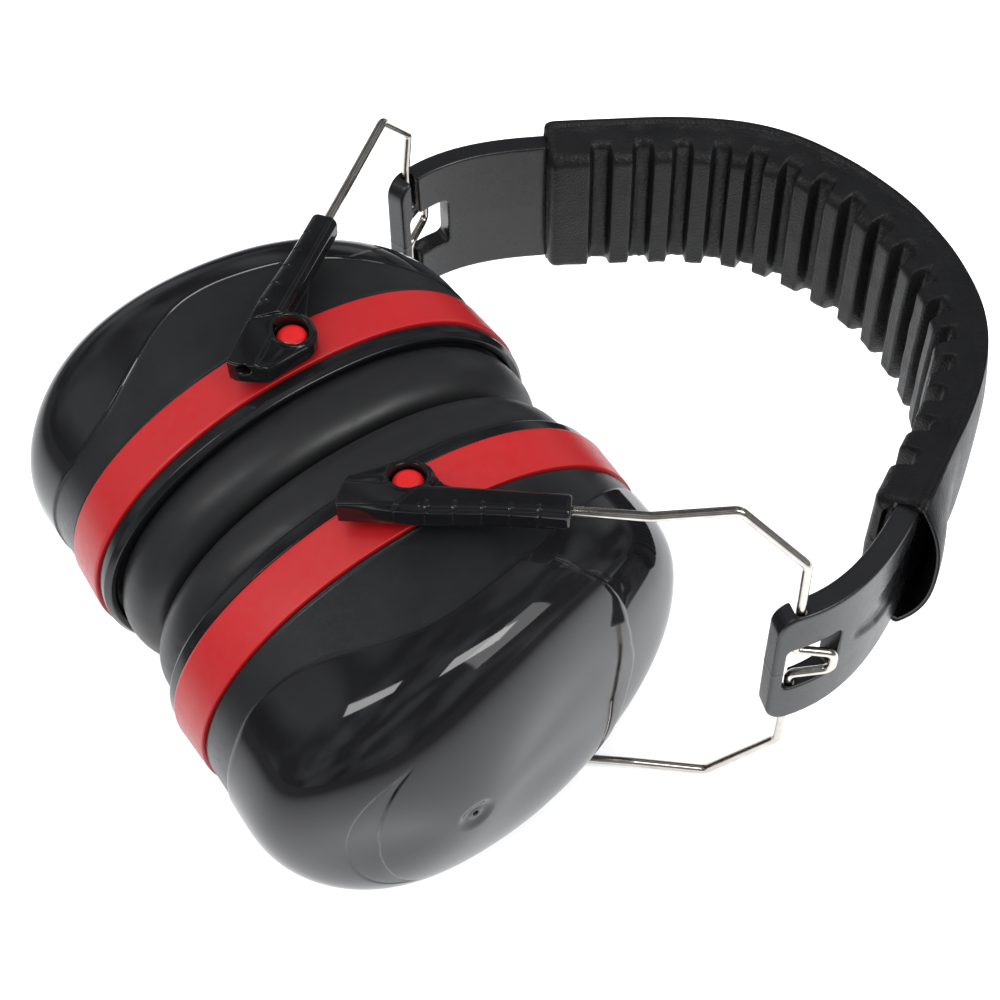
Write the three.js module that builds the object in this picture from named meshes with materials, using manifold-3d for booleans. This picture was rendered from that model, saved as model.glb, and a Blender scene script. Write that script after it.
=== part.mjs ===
// Over-the-head hearing protection earmuffs, lying on their side, in millimetres.
//
// X runs from the left cup (-X) to the right cup (+X), Y from the cups up to the
// crown of the headband, Z up from the table.  The design is laid out about the
// pivot axes: X = 0 and Z = 0 are its planes of symmetry, the two ear cushions
// almost meet at X = 0, and the pivot pins are on Y = 0.  The finished group is
// then moved so that the frame's origin is the bottom centre of the bounding box.
// Right-hand pieces are modelled and mirrored; "front" is +Z and "rear" is -Z.
import * as THREE from 'three';
import { mergeVertices } from 'three/addons/utils/BufferGeometryUtils.js';
import Module from 'manifold-3d';

const wasm = await Module();
wasm.setup();

// --------------------------------------------------------- shared dimensions
const FRAME_Y = 50.45;       // the layout's origin sits this far below the frame's along Y
const REST_Z = 49.56;        // and this far above the table
const GAP = 0.3;             // clearance between fitted pieces

const PIN_X = 23.9;          // pivot pin axis, X (Y = 0)
const PIN_SHAFT_R = 2.3;
const PIN_HEAD_R = 3.4;
const PIN_TOP = 46.0;
const PIN_HEAD_BASE = 43.7;
const PIN_FOOT = 35.0;

const LEG = new THREE.Vector2(0.621, 0.784).normalize();   // wire leg direction in XY
const LEG_OFFSET = 5.35;     // wire leg offset from the pin, towards the dome
const LEG_Z = 46.2;          // wire leg height
const WIRE_R = 1.05;
const WIRE_HOLE_R = 1.4;     // bore in the arms and groove in the strap

const YOKE_X = 78.6;         // swing axis of the wire in the headband yoke
const YOKE_Y = 60.2;

const X_AXIS = new THREE.Vector3(1, 0, 0);
const Y_AXIS = new THREE.Vector3(0, 1, 0);
const Z_AXIS = new THREE.Vector3(0, 0, 1);

// ------------------------------------------------------------------- helpers
const vectors = (points) => points.map(([x, y]) => new THREE.Vector2(x, y));

// six times the signed volume inside the triangles
function signedVolume(positions, index) {
  const [a, b, c] = [new THREE.Vector3(), new THREE.Vector3(), new THREE.Vector3()];
  let sum = 0;
  for (let i = 0; i < index.length; i += 3) {
    a.fromBufferAttribute(positions, index[i]);
    b.fromBufferAttribute(positions, index[i + 1]);
    c.fromBufferAttribute(positions, index[i + 2]);
    sum += a.dot(b.cross(c));
  }
  return sum;
}

// welded vertices, no collapsed triangles, outward winding
function clean(source) {
  let geometry = source.index ? source.toNonIndexed() : source.clone();
  geometry.deleteAttribute('normal');
  geometry.deleteAttribute('uv');
  geometry = mergeVertices(geometry, 1e-4);
  const welded = geometry.index.array;
  const index = [];
  for (let i = 0; i < welded.length; i += 3) {
    const [a, b, c] = [welded[i], welded[i + 1], welded[i + 2]];
    if (a !== b && b !== c && c !== a) index.push(a, b, c);
  }
  if (signedVolume(geometry.attributes.position, index) < 0) {
    for (let i = 0; i < index.length; i += 3) {
      [index[i + 1], index[i + 2]] = [index[i + 2], index[i + 1]];
    }
  }
  geometry.setIndex(index);
  return geometry;
}

function solid(source) {
  const geometry = clean(source);
  return new wasm.Manifold(new wasm.Mesh({
    numProp: 3,
    vertProperties: new Float32Array(geometry.attributes.position.array),
    triVerts: new Uint32Array(geometry.index.array),
  }));
}

function toGeometry(manifold) {
  const { vertProperties, numProp, triVerts } = manifold.getMesh();
  const count = vertProperties.length / numProp;
  const positions = new Float32Array(count * 3);
  for (let i = 0; i < count; i++) {
    for (let k = 0; k < 3; k++) positions[i * 3 + k] = vertProperties[i * numProp + k];
  }
  const geometry = new THREE.BufferGeometry();
  geometry.setAttribute('position', new THREE.BufferAttribute(positions, 3));
  geometry.setIndex(Array.from(triVerts));
  return geometry;
}

function mirror(geometry, x, y, z) {
  return clean(geometry.clone().applyMatrix4(new THREE.Matrix4().makeScale(x, y, z)));
}
const mirrorX = (geometry) => mirror(geometry, -1, 1, 1);
const mirrorZ = (geometry) => mirror(geometry, 1, 1, -1);

// moves a geometry so that its x, y and z lie along the given axes from origin
function place(geometry, origin, alongX, alongY, alongZ) {
  const matrix = new THREE.Matrix4().makeBasis(alongX, alongY, alongZ);
  return geometry.applyMatrix4(matrix.setPosition(origin));
}

// the bevel is taken out of the shape's own outline, but adds to the depth at both ends
function prism(shape, depth, { bevel = 0, curveSegments = 12 } = {}) {
  return new THREE.ExtrudeGeometry(shape, {
    depth,
    curveSegments,
    bevelEnabled: bevel > 0,
    bevelThickness: bevel,
    bevelSize: bevel,
    bevelOffset: -bevel,
    bevelSegments: 1,
  });
}

function roundRect(width, height, r) {
  const [x, y] = [width / 2, height / 2];
  const shape = new THREE.Shape();
  shape.moveTo(-x + r, -y);
  shape.lineTo(x - r, -y);
  shape.absarc(x - r, -y + r, r, -Math.PI / 2, 0);
  shape.lineTo(x, y - r);
  shape.absarc(x - r, y - r, r, 0, Math.PI / 2);
  shape.lineTo(-x + r, y);
  shape.absarc(-x + r, y - r, r, Math.PI / 2, Math.PI);
  shape.lineTo(-x, -y + r);
  shape.absarc(-x + r, -y + r, r, Math.PI, 1.5 * Math.PI);
  return shape;
}

function box(size, centre, { turnY = 0, turnZ = 0 } = {}) {
  const geometry = new THREE.BoxGeometry(...size);
  geometry.rotateY(turnY);
  geometry.rotateZ(turnZ);
  return geometry.translate(...centre);
}

function cylinderZ(r, z0, z1, x, segments) {
  const geometry = new THREE.CylinderGeometry(r, r, z1 - z0, segments);
  geometry.rotateX(Math.PI / 2);
  return geometry.translate(x, 0, (z0 + z1) / 2);
}

// turns a profile of [radius, z] about Z
function turnedZ(profile) {
  return new THREE.LatheGeometry(vectors(profile), 18).rotateX(Math.PI / 2);
}

// ---------------------------------------------------------------- the cups
const CUP_SEGS = 36;         // facets round the rim
const RIM_HALF_Z = 41.1;     // half width of the egg-shaped rim
const RIM_WIDEST_Y = 6.0;
const RIM_UP = { reach: 48.3, exponent: 2.2 };     // super-ellipse above the widest point
const RIM_DOWN = { reach: 62.6, exponent: 2.0 };   // and below it
const CUP_CENTRE_Y = -1.2;   // Y the cup sections shrink towards

const DOME_X = 31.0;         // the dome starts here, over the red band
const DOME_T = 44.3;         // height of the crown over that line
const DOME_EDGE = 0.988;     // foot of the dome as a share of the rim
const DOME_NOSE = 0.16;      // roundness of the crown
// the dome shifts along Y by shift * ((x - DOME_X) / span) ** power
const DOME_LEAN = { shift: -15.6, span: 45, power: 3.38 };
// Logarithms of the meridian's exponents, as terms in the angle round the rim:
// a long slope at the upper end, full shoulders elsewhere.
const HEIGHT_TERMS = { base: 1.83, cos: -0.068, cosDouble: -0.19, cosCubed: 0 };
const RADIUS_TERMS = { base: 1.379, cos: 1.225, cosDouble: 0.129, cosCubed: -0.89 };
const MERIDIAN_STEPS = 400;
const MERIDIAN_CROWDING = 3.5;   // packs the samples towards the foot
const MERIDIAN_RIM_R = 52;       // typical rim radius, for measuring along a meridian

// offset of the rim from the cup centre, as [y, z]; phi = 0 is the upper end
function rimPoint(phi) {
  const [c, s] = [Math.cos(phi), Math.sin(phi)];
  const { reach, exponent } = c > 0 ? RIM_UP : RIM_DOWN;
  return [
    RIM_WIDEST_Y - CUP_CENTRE_Y + reach * Math.sign(c) * Math.abs(c) ** (2 / exponent),
    RIM_HALF_Z * Math.sign(s) * Math.abs(s) ** (2 / exponent),
  ];
}

function meridianExponent(terms, phi) {
  const c = Math.cos(phi);
  return Math.exp(terms.base + terms.cos * c + terms.cosDouble * Math.cos(2 * phi)
    + terms.cosCubed * c ** 3);
}

// Points [share of rim radius, height over DOME_X] from crown to foot, and the
// length along the meridian at each.
function meridian(phi) {
  const heightExponent = meridianExponent(HEIGHT_TERMS, phi);
  const radiusExponent = meridianExponent(RADIUS_TERMS, phi);
  const points = [];
  const lengths = [0];
  for (let i = 0; i <= MERIDIAN_STEPS; i++) {
    const angle = (Math.PI / 2) * (1 - (1 - i / MERIDIAN_STEPS) ** MERIDIAN_CROWDING);
    const s = Math.sin(angle);
    const radius = DOME_EDGE * (DOME_NOSE * s + (1 - DOME_NOSE) * s ** radiusExponent);
    const height = i === MERIDIAN_STEPS
      ? 0
      : DOME_T * Math.max(0, Math.cos(angle)) ** (2 / heightExponent);
    points.push([radius, height]);
    if (i > 0) {
      const [lastRadius, lastHeight] = points[i - 1];
      const step = Math.hypot((radius - lastRadius) * MERIDIAN_RIM_R, height - lastHeight);
      lengths.push(lengths[i - 1] + step);
    }
  }
  return { points, lengths };
}
const rimAngle = (segment) => (segment / CUP_SEGS) * 2 * Math.PI;
const MERIDIANS = Array.from({ length: CUP_SEGS }, (_, segment) => meridian(rimAngle(segment)));

// the point a given share of the way from crown to foot
function pointOnMeridian({ points, lengths }, share) {
  const wanted = share * lengths[MERIDIAN_STEPS];
  let i = 1;
  while (i < MERIDIAN_STEPS && lengths[i] < wanted) i++;
  const t = (wanted - lengths[i - 1]) / Math.max(1e-9, lengths[i] - lengths[i - 1]);
  const [from, to] = [points[i - 1], points[i]];
  return [from[0] + (to[0] - from[0]) * t, from[1] + (to[1] - from[1]) * t];
}

// A profile row is either [share of rim radius, x] or a dome row, where share runs
// from the crown (0) to the foot (1), scale shrinks the radius and drop lowers the crown.
const domeRows = (scale, drop, ...shares) => shares.map((share) => ({ share, scale, drop }));

function rowPoint(row, segment) {
  if (Array.isArray(row)) return row;
  const [radius, height] = pointOnMeridian(MERIDIANS[segment], row.share);
  return [
    row.share === 0 ? 0 : radius * row.scale,
    DOME_X + height * (DOME_T - row.drop) / DOME_T,
  ];
}

function domeShift(x) {
  return DOME_LEAN.shift * (Math.max(0, x - DOME_X) / DOME_LEAN.span) ** DOME_LEAN.power;
}

// carries a profile round the cup outline
function turnedCup(profile, { closed }) {
  const rows = closed ? [...profile, profile[0]] : profile;
  // the lathe gives only the connectivity; every vertex is placed below
  const geometry = new THREE.LatheGeometry(rows.map((_, j) => new THREE.Vector2(1, j)), CUP_SEGS);
  const positions = geometry.attributes.position;
  for (let i = 0; i < positions.count; i++) {
    const segment = Math.floor(i / rows.length) % CUP_SEGS;
    const [share, x] = rowPoint(rows[i % rows.length], segment);
    const [rimY, rimZ] = rimPoint(rimAngle(segment));
    positions.setXYZ(i, x, CUP_CENTRE_Y + rimY * share + domeShift(x), rimZ * share);
  }
  return clean(geometry);
}

const SHELL_PROFILE = [
  ...domeRows(1, 0, 0, 0.1, 0.2, 0.3, 0.4, 0.5, 0.59, 0.67, 0.74, 0.81, 0.88, 0.94, 1),
  [0.978, 30.8], [0.925, 30.8], [0.925, 18.8], [0.875, 18.8],
  ...domeRows(0.886, 2.6, 0.94, 0.84),
  ...domeRows(0.91, 2.6, 0.74),
  ...domeRows(0.925, 2.6, 0.62, 0.48, 0.32, 0.16, 0),
];
const RING_PROFILE = [
  [0.934, 18.6], [0.998, 18.6], [1.0, 19.2], [0.992, 30.5], [0.934, 30.5],
];
const PLATE_PROFILE = [
  [0.55, 15.6], [0.936, 15.6], [0.945, 14.5], [0.970, 14.3], [0.988, 15.6],
  [0.986, 18.2], [0.55, 18.3],
];
const CUSHION_PROFILE = [
  [0.605, 15.2], [0.600, 8], [0.630, 3], [0.70, 0.5], [0.775, 0.2],
  [0.86, 1.1], [0.92, 4.0], [0.944, 8.5], [0.930, 13], [0.905, 15.2],
];
const FOAM_PROFILE = [
  ...domeRows(0.86, 6.0, 0, 0.2, 0.4, 0.58, 0.72, 0.84, 0.95),
  [0.862, 19.4], [0.68, 19.4], [0.62, 38], [0.40, 50], [0, 53],
];
const FOAM_PIN_GAP = 1.2;
const HOLE_END_Z = 60;       // hole cutters run out past every piece

// front and rear pin passages, from innerZ outwards
function pinHoles(r, innerZ, segments) {
  return solid(cylinderZ(r, innerZ, HOLE_END_Z, PIN_X, segments))
    .add(solid(cylinderZ(r, -HOLE_END_Z, -innerZ, PIN_X, segments)));
}

function makeShell() {
  const shell = solid(turnedCup(SHELL_PROFILE, { closed: false }));
  return toGeometry(shell.subtract(pinHoles(PIN_SHAFT_R + GAP, 30, 16)));
}

function makeRing() {
  const ring = solid(turnedCup(RING_PROFILE, { closed: true }));
  return toGeometry(ring.subtract(pinHoles(PIN_SHAFT_R + GAP, 30, 16)));
}

function makeAcousticFoam() {
  const foam = solid(turnedCup(FOAM_PROFILE, { closed: false }));
  return toGeometry(foam.subtract(pinHoles(PIN_SHAFT_R + FOAM_PIN_GAP, 20, 12)));
}

// pivot pin: domed head, plain shaft; rows are [radius, z]
const PIN_PROFILE = [
  [0, PIN_TOP], [1.9, PIN_TOP - 0.1], [3.0, PIN_TOP - 0.6], [PIN_HEAD_R, PIN_TOP - 1.5],
  [PIN_HEAD_R, PIN_HEAD_BASE], [PIN_SHAFT_R, PIN_HEAD_BASE],
  [PIN_SHAFT_R, PIN_FOOT], [0, PIN_FOOT],
];
const makePin = () => clean(turnedZ(PIN_PROFILE).translate(PIN_X, 0, 0));

// -------------------------------------------------------------- slider arms
// Local frame of an arm, from the pin axis: x along the wire leg towards the yoke,
// y away from the dome, z = Z.
const EYE_R = 5.7;
const EYE_PROFILE = [        // [radius, z]
  [0, 42.2], [EYE_R, 42.2], [EYE_R, 44.7], [5.35, 45.4], [4.5, 45.7], [0, 45.7],
];
// wing plate outline [x, y], before and after its arc round the eye
const WING_START = [[-14.2, -2.0], [-3.4, 4.6]];
const WING_END = [[11.5, -2.2], [14, -6.4], [-12.2, -8.2]];
const WING_ARC = { from: Math.PI - 0.93, to: 0.15 };
const WING = { z: 42.6, depth: 1.9 };
const ARM_BEVEL = 0.6;

const BAR_SIZE = 6.6;
const BAR_CORNER_R = 1.9;
const BAR_START = -12.6;
const BAR_LENGTH = 45.6;
const BAR_Y = -LEG_OFFSET - 0.2;
const BAR_Z = LEG_Z - 0.3;
const BAR_TAPER = 0.045;     // slope of the dome side, in radians

const NOTCH = { count: 5, first: 5.2, pitch: 5.4, width: 0.8 };
const HEAD_RECESS_GAP = 0.28;

function placeArm(geometry) {
  const alongLeg = new THREE.Vector3(LEG.x, LEG.y, 0);
  const awayFromDome = new THREE.Vector3(-LEG.y, LEG.x, 0);
  const pin = new THREE.Vector3(PIN_X, 0, 0);
  return solid(place(geometry, pin, alongLeg, awayFromDome, Z_AXIS));
}

// flat tail and eye plate
function armWing() {
  const outline = new THREE.Shape(vectors(WING_START));
  outline.absarc(0, 0, EYE_R, WING_ARC.from, WING_ARC.to, true);
  for (const [x, y] of WING_END) outline.lineTo(x, y);
  outline.closePath();
  const wing = prism(outline, WING.depth, { bevel: ARM_BEVEL, curveSegments: 6 });
  return placeArm(wing.translate(0, 0, WING.z));
}

// rounded grip bar, tapered on the dome side towards the wire exit
function armBar() {
  const section = roundRect(BAR_SIZE, BAR_SIZE, BAR_CORNER_R);
  const bar = prism(section, BAR_LENGTH, { bevel: ARM_BEVEL, curveSegments: 2 });
  place(bar, new THREE.Vector3(BAR_START, BAR_Y, BAR_Z), Y_AXIS, Z_AXIS, X_AXIS);
  const shaveY = BAR_Y - BAR_SIZE / 2 - 2.55;
  const shave = box([60, 6, 20], [20, shaveY, LEG_Z], { turnZ: BAR_TAPER });
  return placeArm(bar).subtract(placeArm(shave));
}

function armCutters() {
  const cutters = [
    box([10, 30, 20], [-18.4, -4, 45], { turnZ: -0.22 }),        // oblique tail end
    box([30, 30, 10], [-16.5, 0, 51.4], { turnY: -0.20 }),       // top sloping down to the tail
  ];
  // shallow notches across the top and the dome side of the grip
  for (let i = 0; i < NOTCH.count; i++) {
    const x = NOTCH.first + i * NOTCH.pitch;
    const sideY = -LEG_OFFSET - 3.55 + BAR_TAPER * x;
    cutters.push(
      box([NOTCH.width, 12, 1], [x, -LEG_OFFSET - 0.5, LEG_Z + 3.2]),
      box([NOTCH.width, 1, 12], [x, sideY, LEG_Z]),
    );
  }
  // pin hole and head recess
  cutters.push(
    cylinderZ(PIN_SHAFT_R + GAP, 30, HOLE_END_Z, 0, 12),
    cylinderZ(PIN_HEAD_R + HEAD_RECESS_GAP, PIN_HEAD_BASE - GAP, HOLE_END_Z, 0, 16),
  );
  // wire bore, open at both ends
  const bore = new THREE.CylinderGeometry(WIRE_HOLE_R, WIRE_HOLE_R, 60, 8);
  bore.rotateZ(Math.PI / 2);
  cutters.push(bore.translate(10, -LEG_OFFSET, LEG_Z));
  return cutters;
}

function makeArm() {
  let arm = armWing().add(placeArm(turnedZ(EYE_PROFILE))).add(armBar());
  for (const cutter of armCutters()) arm = arm.subtract(placeArm(cutter));
  return toGeometry(arm);
}

// --------------------------------------------------------------- wire springs
const WIRE_START = 4.0;      // along the leg from the pin
const WIRE_LEG_END = 49.0;
const SHOULDER_1 = [68.3, 49.2, 48.7];
const SHOULDER_2 = [77.7, 60.9, 32.6];
const HAIRPIN_DIR = new THREE.Vector2(0.53, 0.85).normalize();   // in XY
const HAIRPIN_LENGTH = 9.0;
const FILLET_STEP = 0.42;    // largest turn between points of a rounded corner, radians

// straight runs between given points
class PolyPath extends THREE.Curve {
  constructor(points) {
    super();
    this.points = points;
  }

  getPoint(t, target = new THREE.Vector3()) {
    const runs = this.points.length - 1;
    const along = Math.min(Math.max(t, 0), 1) * runs;
    const i = Math.min(Math.floor(along), runs - 1);
    return target.lerpVectors(this.points[i], this.points[i + 1], along - i);
  }

  // spaced points fall on the given points, not at equal distances
  getUtoTmapping(u) {
    return u;
  }
}

// corner points joined by straight runs, each corner rounded with its radius
function filleted(corners) {
  const points = corners.map(({ at }) => new THREE.Vector3(...at));
  const path = [points[0]];
  for (let i = 1; i < corners.length - 1; i++) {
    const corner = points[i];
    const back = points[i - 1].clone().sub(corner).normalize();
    const ahead = points[i + 1].clone().sub(corner).normalize();
    const angle = back.angleTo(ahead);
    const { r } = corners[i];
    const setback = r / Math.tan(angle / 2);
    const middle = back.clone().add(ahead).normalize();
    const centre = corner.clone().addScaledVector(middle, r / Math.sin(angle / 2));
    const start = corner.clone().addScaledVector(back, setback).sub(centre);
    const end = corner.clone().addScaledVector(ahead, setback).sub(centre);
    const axis = start.clone().cross(end).normalize();
    const turn = Math.PI - angle;
    const steps = Math.max(2, Math.ceil(turn / FILLET_STEP));
    for (let j = 0; j <= steps; j++) {
      path.push(start.clone().applyAxisAngle(axis, turn * j / steps).add(centre));
    }
  }
  path.push(points.at(-1));
  return path;
}

const legPoint = (along) => [
  PIN_X + LEG.x * along + LEG.y * LEG_OFFSET,
  LEG.y * along - LEG.x * LEG_OFFSET,
  LEG_Z,
];

// from the front arm, through the yoke and its central hairpin, to the rear arm
function makeWire() {
  const hairpinEnd = [
    YOKE_X + HAIRPIN_DIR.x * HAIRPIN_LENGTH,
    YOKE_Y + HAIRPIN_DIR.y * HAIRPIN_LENGTH,
    2.9,
  ];
  const frontHalf = [
    { at: legPoint(WIRE_START) },
    { at: legPoint(WIRE_LEG_END), r: 8 },
    { at: SHOULDER_1, r: 2.4 },
    { at: SHOULDER_2, r: 3.0 },
    { at: [YOKE_X, YOKE_Y, 21.5], r: 8 },
    { at: [YOKE_X, YOKE_Y, 4.6], r: 1.6 },
    { at: hairpinEnd, r: 2.4 },
  ];
  const rearHalf = frontHalf.map(({ at: [x, y, z], r }) => ({ at: [x, y, -z], r })).reverse();
  const path = new PolyPath(filleted([...frontHalf, ...rearHalf]));
  const section = new THREE.Shape();
  section.absarc(0, 0, WIRE_R, 0, 2 * Math.PI);
  return clean(new THREE.ExtrudeGeometry(section, {
    steps: path.points.length - 1,
    curveSegments: 4,
    extrudePath: path,
    bevelEnabled: false,
  }));
}

// ------------------------------------------------------------ headband strap
// outer face of the strap [x, y], crown to right-hand tip
const STRAP_OUTER = [
  [0, 154.1], [14, 152.7], [21.5, 151], [29.3, 148.4], [35, 145.8], [40.5, 142.3],
  [45, 138.5], [48.9, 134.3], [52.8, 129.5], [56.3, 124.6], [59.8, 119], [63.1, 113.2],
  [66.4, 107.5], [72, 97.6], [77.2, 87], [80.4, 77.4], [81.6, 68.6], [81.0, 61],
  [79.2, 54.6],
];
const STRAP_TIP_Y = STRAP_OUTER.at(-1)[1];
const STRAP_HALF = 18.8;     // half width of the strap
const STRAP_T = 5.2;         // thickness at the yokes
const STRAP_T_MID = 3.0;     // thickness under the pad
const STRAP_BEVEL = 0.7;
const STRAP_STEPS = 64;
const STRAP_CORNER_R = 5.0;  // corners at the tips
const PAD_S = 98.5;          // pad sleeve runs this far each way from the crown

const YOKE_DIR = { x: 0.10, y: 0.995 };   // direction of the strap at the right yoke
const WINDOW = { length: 13.3, width: 14.6, cornerR: 1.8, above: 4.05 };
const YOKE_CUT = 12;         // the yoke cutters reach this far from the wire axis
const GROOVE_HALF_Z = 30;    // half length of the wire groove's cutter

// tapered channel in the outer face [z, y]
const CHANNEL_OUTLINE = [
  [0, 76], [3.2, 80], [8, 92], [11.5, 108], [10, 112],
  [-10, 112], [-11.5, 108], [-8, 92], [-3.2, 80],
];
const CHANNEL_DEPTH = 1.3;

// whole outer curve, left tip to right tip
const outerCurve = new THREE.SplineCurve(vectors([
  ...STRAP_OUTER.slice(1).reverse().map(([x, y]) => [-x, y]),
  ...STRAP_OUTER,
]));
const ARC = outerCurve.getLength();

// point and outward normal, s millimetres from the crown, + to the right
function frameAt(s) {
  const u = THREE.MathUtils.clamp(0.5 + s / ARC, 0, 1);
  const tangent = outerCurve.getTangentAt(u);
  return { point: outerCurve.getPointAt(u), normal: new THREE.Vector2(-tangent.y, tangent.x) };
}

// a point s along the strap and depth below its outer face
function strapPoint(s, depth) {
  const { point, normal } = frameAt(s);
  return point.clone().addScaledVector(normal, -depth);
}

// side view of a band between two depths; bottom is a function of s
function bandShape(halfSpan, top, bottom, steps) {
  const stations = Array.from({ length: steps + 1 }, (_, i) => halfSpan * (2 * i / steps - 1));
  return new THREE.Shape([
    ...stations.map((s) => strapPoint(s, top)),
    ...stations.reverse().map((s) => strapPoint(s, bottom(s))),
  ]);
}

function across(shape, half, bevel = 0) {
  return prism(shape, 2 * (half - bevel), { bevel }).translate(0, 0, -(half - bevel));
}

// an outline in (Z, Y) carried right across the band along X
function planSolid(shape) {
  const block = prism(shape, 220, { curveSegments: 6 });
  return solid(place(block, new THREE.Vector3(-110, 0, 0), Z_AXIS, Y_AXIS, X_AXIS));
}

const strapThickness = (s) => STRAP_T_MID + (STRAP_T - STRAP_T_MID)
  * THREE.MathUtils.smoothstep(Math.abs(s), PAD_S - 14, PAD_S + 2);

// plan outline, clear of the strap except at its rounded tips
function strapPlan() {
  const r = STRAP_CORNER_R;
  const cornerY = STRAP_TIP_Y + r;
  const plan = new THREE.Shape();
  plan.moveTo(-STRAP_HALF - 1, 200);
  plan.lineTo(-STRAP_HALF - 1, cornerY + 4);
  plan.lineTo(-STRAP_HALF, cornerY + 2.5);
  plan.absarc(-STRAP_HALF + r, cornerY, r, Math.PI, 1.5 * Math.PI);
  plan.lineTo(STRAP_HALF - r, STRAP_TIP_Y);
  plan.absarc(STRAP_HALF - r, cornerY, r, -Math.PI / 2, 0);
  plan.lineTo(STRAP_HALF, cornerY + 2.5);
  plan.lineTo(STRAP_HALF + 1, cornerY + 4);
  plan.lineTo(STRAP_HALF + 1, 200);
  plan.closePath();
  return plan;
}

// window and wire groove of one yoke; side is 1 on the right, -1 on the left
function yokeCutters(side) {
  const along = new THREE.Vector3(YOKE_DIR.x * side, YOKE_DIR.y, 0).normalize();
  const outward = new THREE.Vector3(along.y * side, -along.x * side, 0);
  const axis = new THREE.Vector3(YOKE_X * side, YOKE_Y, 0);

  const opening = roundRect(WINDOW.length, WINDOW.width, WINDOW.cornerR);
  const window = prism(opening, 2 * YOKE_CUT, { curveSegments: 4 });
  const windowOrigin = axis.clone()
    .addScaledVector(along, WINDOW.above)
    .addScaledVector(outward, -YOKE_CUT);
  place(window, windowOrigin, along, Z_AXIS, outward);

  // rounded round the wire, open on the inner face
  const section = new THREE.Shape();
  section.moveTo(-YOKE_CUT, -WIRE_HOLE_R);
  section.lineTo(0, -WIRE_HOLE_R);
  section.absarc(0, 0, WIRE_HOLE_R, -Math.PI / 2, Math.PI / 2);
  section.lineTo(-YOKE_CUT, WIRE_HOLE_R);
  section.closePath();
  const groove = prism(section, 2 * GROOVE_HALF_Z, { curveSegments: 10 });
  place(groove, axis.clone().setZ(-GROOVE_HALF_Z), outward, along, Z_AXIS);
  return [window, groove];
}

// long tapered channels in the outer face, one on each side
function strapChannels() {
  const band = bandShape(ARC / 2, -2, () => CHANNEL_DEPTH, STRAP_STEPS);
  const plan = planSolid(new THREE.Shape(vectors(CHANNEL_OUTLINE)));
  return plan.intersect(solid(across(band, 15)));
}

function makeStrap() {
  const band = bandShape(ARC / 2, 0, strapThickness, STRAP_STEPS);
  let strap = solid(across(band, STRAP_HALF, STRAP_BEVEL)).intersect(planSolid(strapPlan()));
  for (const side of [1, -1]) {
    for (const cutter of yokeCutters(side)) strap = strap.subtract(solid(cutter));
  }
  return toGeometry(strap.subtract(strapChannels()));
}

// ----------------------------------------------------------------- head pad
const PAD_HALF = 21.8;       // half width of the pad sleeve
const PAD_STEPS = 36;
const COVER_T = 1.2;
const COVER_LIFT = 0.4;      // underside of the outer sheet over the strap, at its edges
const COVER_BULGE = 1.8;     // the sheet stands this much higher on its centre line
const COVER_FLARE = 4.6;     // and this much more at its open ends
const FLARE_START_S = 30;
const COVER_S = 93;          // it runs this far each way from the crown
const COVER_CELLS = 8;       // facets across the sheet

const FOAM_T = 2.1;
const FOAM_TOP = STRAP_T_MID + GAP;
const FOAM_S = 80;           // the foam runs this far each way from the crown
const FOAM_HALF = 17;

const CREST = 10.5;          // depth of the ribs' crest below the strap's outer face
const CREST_HALF = 17.2;
const GROOVE = { count: 17, pitch: 10.6, depth: 7.3, r: 2.2, overrun: 4 };
const SLEEVE_TOP = -0.1;
const SLEEVE_INNER_HALF = STRAP_HALF + 0.4;
const SLEEVE_INNER = FOAM_TOP + FOAM_T + GAP;
// hat section round the strap [across the band, depth below the strap's outer face]
const HAT_SECTION = [
  [PAD_HALF, SLEEVE_TOP], [PAD_HALF, 1.2], [19.0, 8.6], [CREST_HALF, CREST],
  [-CREST_HALF, CREST], [-19.0, 8.6], [-PAD_HALF, 1.2], [-PAD_HALF, SLEEVE_TOP],
  [-SLEEVE_INNER_HALF, SLEEVE_TOP], [-SLEEVE_INNER_HALF, SLEEVE_INNER],
  [SLEEVE_INNER_HALF, SLEEVE_INNER], [SLEEVE_INNER_HALF, SLEEVE_TOP],
];

// smooth outer sheet of the sleeve, arched over the outer face of the strap
function makeOuterCover() {
  const row = (height) => Array.from({ length: COVER_CELLS + 1 }, (_, i) => (
    new THREE.Vector2((2 * i / COVER_CELLS - 1) * PAD_HALF, height)));
  const section = new THREE.Shape([...row(COVER_LIFT + COVER_T), ...row(COVER_LIFT).reverse()]);
  const cover = new THREE.ExtrudeGeometry(section, {
    depth: 2 * COVER_S,
    steps: PAD_STEPS,
    bevelEnabled: false,
  });
  const positions = cover.attributes.position;
  for (let i = 0; i < positions.count; i++) {
    const z = positions.getX(i);
    const s = positions.getZ(i) - COVER_S;
    const flare = COVER_FLARE * THREE.MathUtils.smoothstep(Math.abs(s), FLARE_START_S, COVER_S);
    const rise = (COVER_BULGE + flare) * (1 - (z / PAD_HALF) ** 2);
    const { x, y } = strapPoint(s, -(positions.getY(i) + rise));
    positions.setXYZ(i, x, y, z);
  }
  return clean(cover);
}

// the strap's outer face along the length of the pad sleeve
class PadPath extends THREE.Curve {
  getPoint(t, target = new THREE.Vector3()) {
    const { x, y } = strapPoint(PAD_S * (2 * t - 1), 0);
    return target.set(x, y, 0);
  }
}

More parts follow.
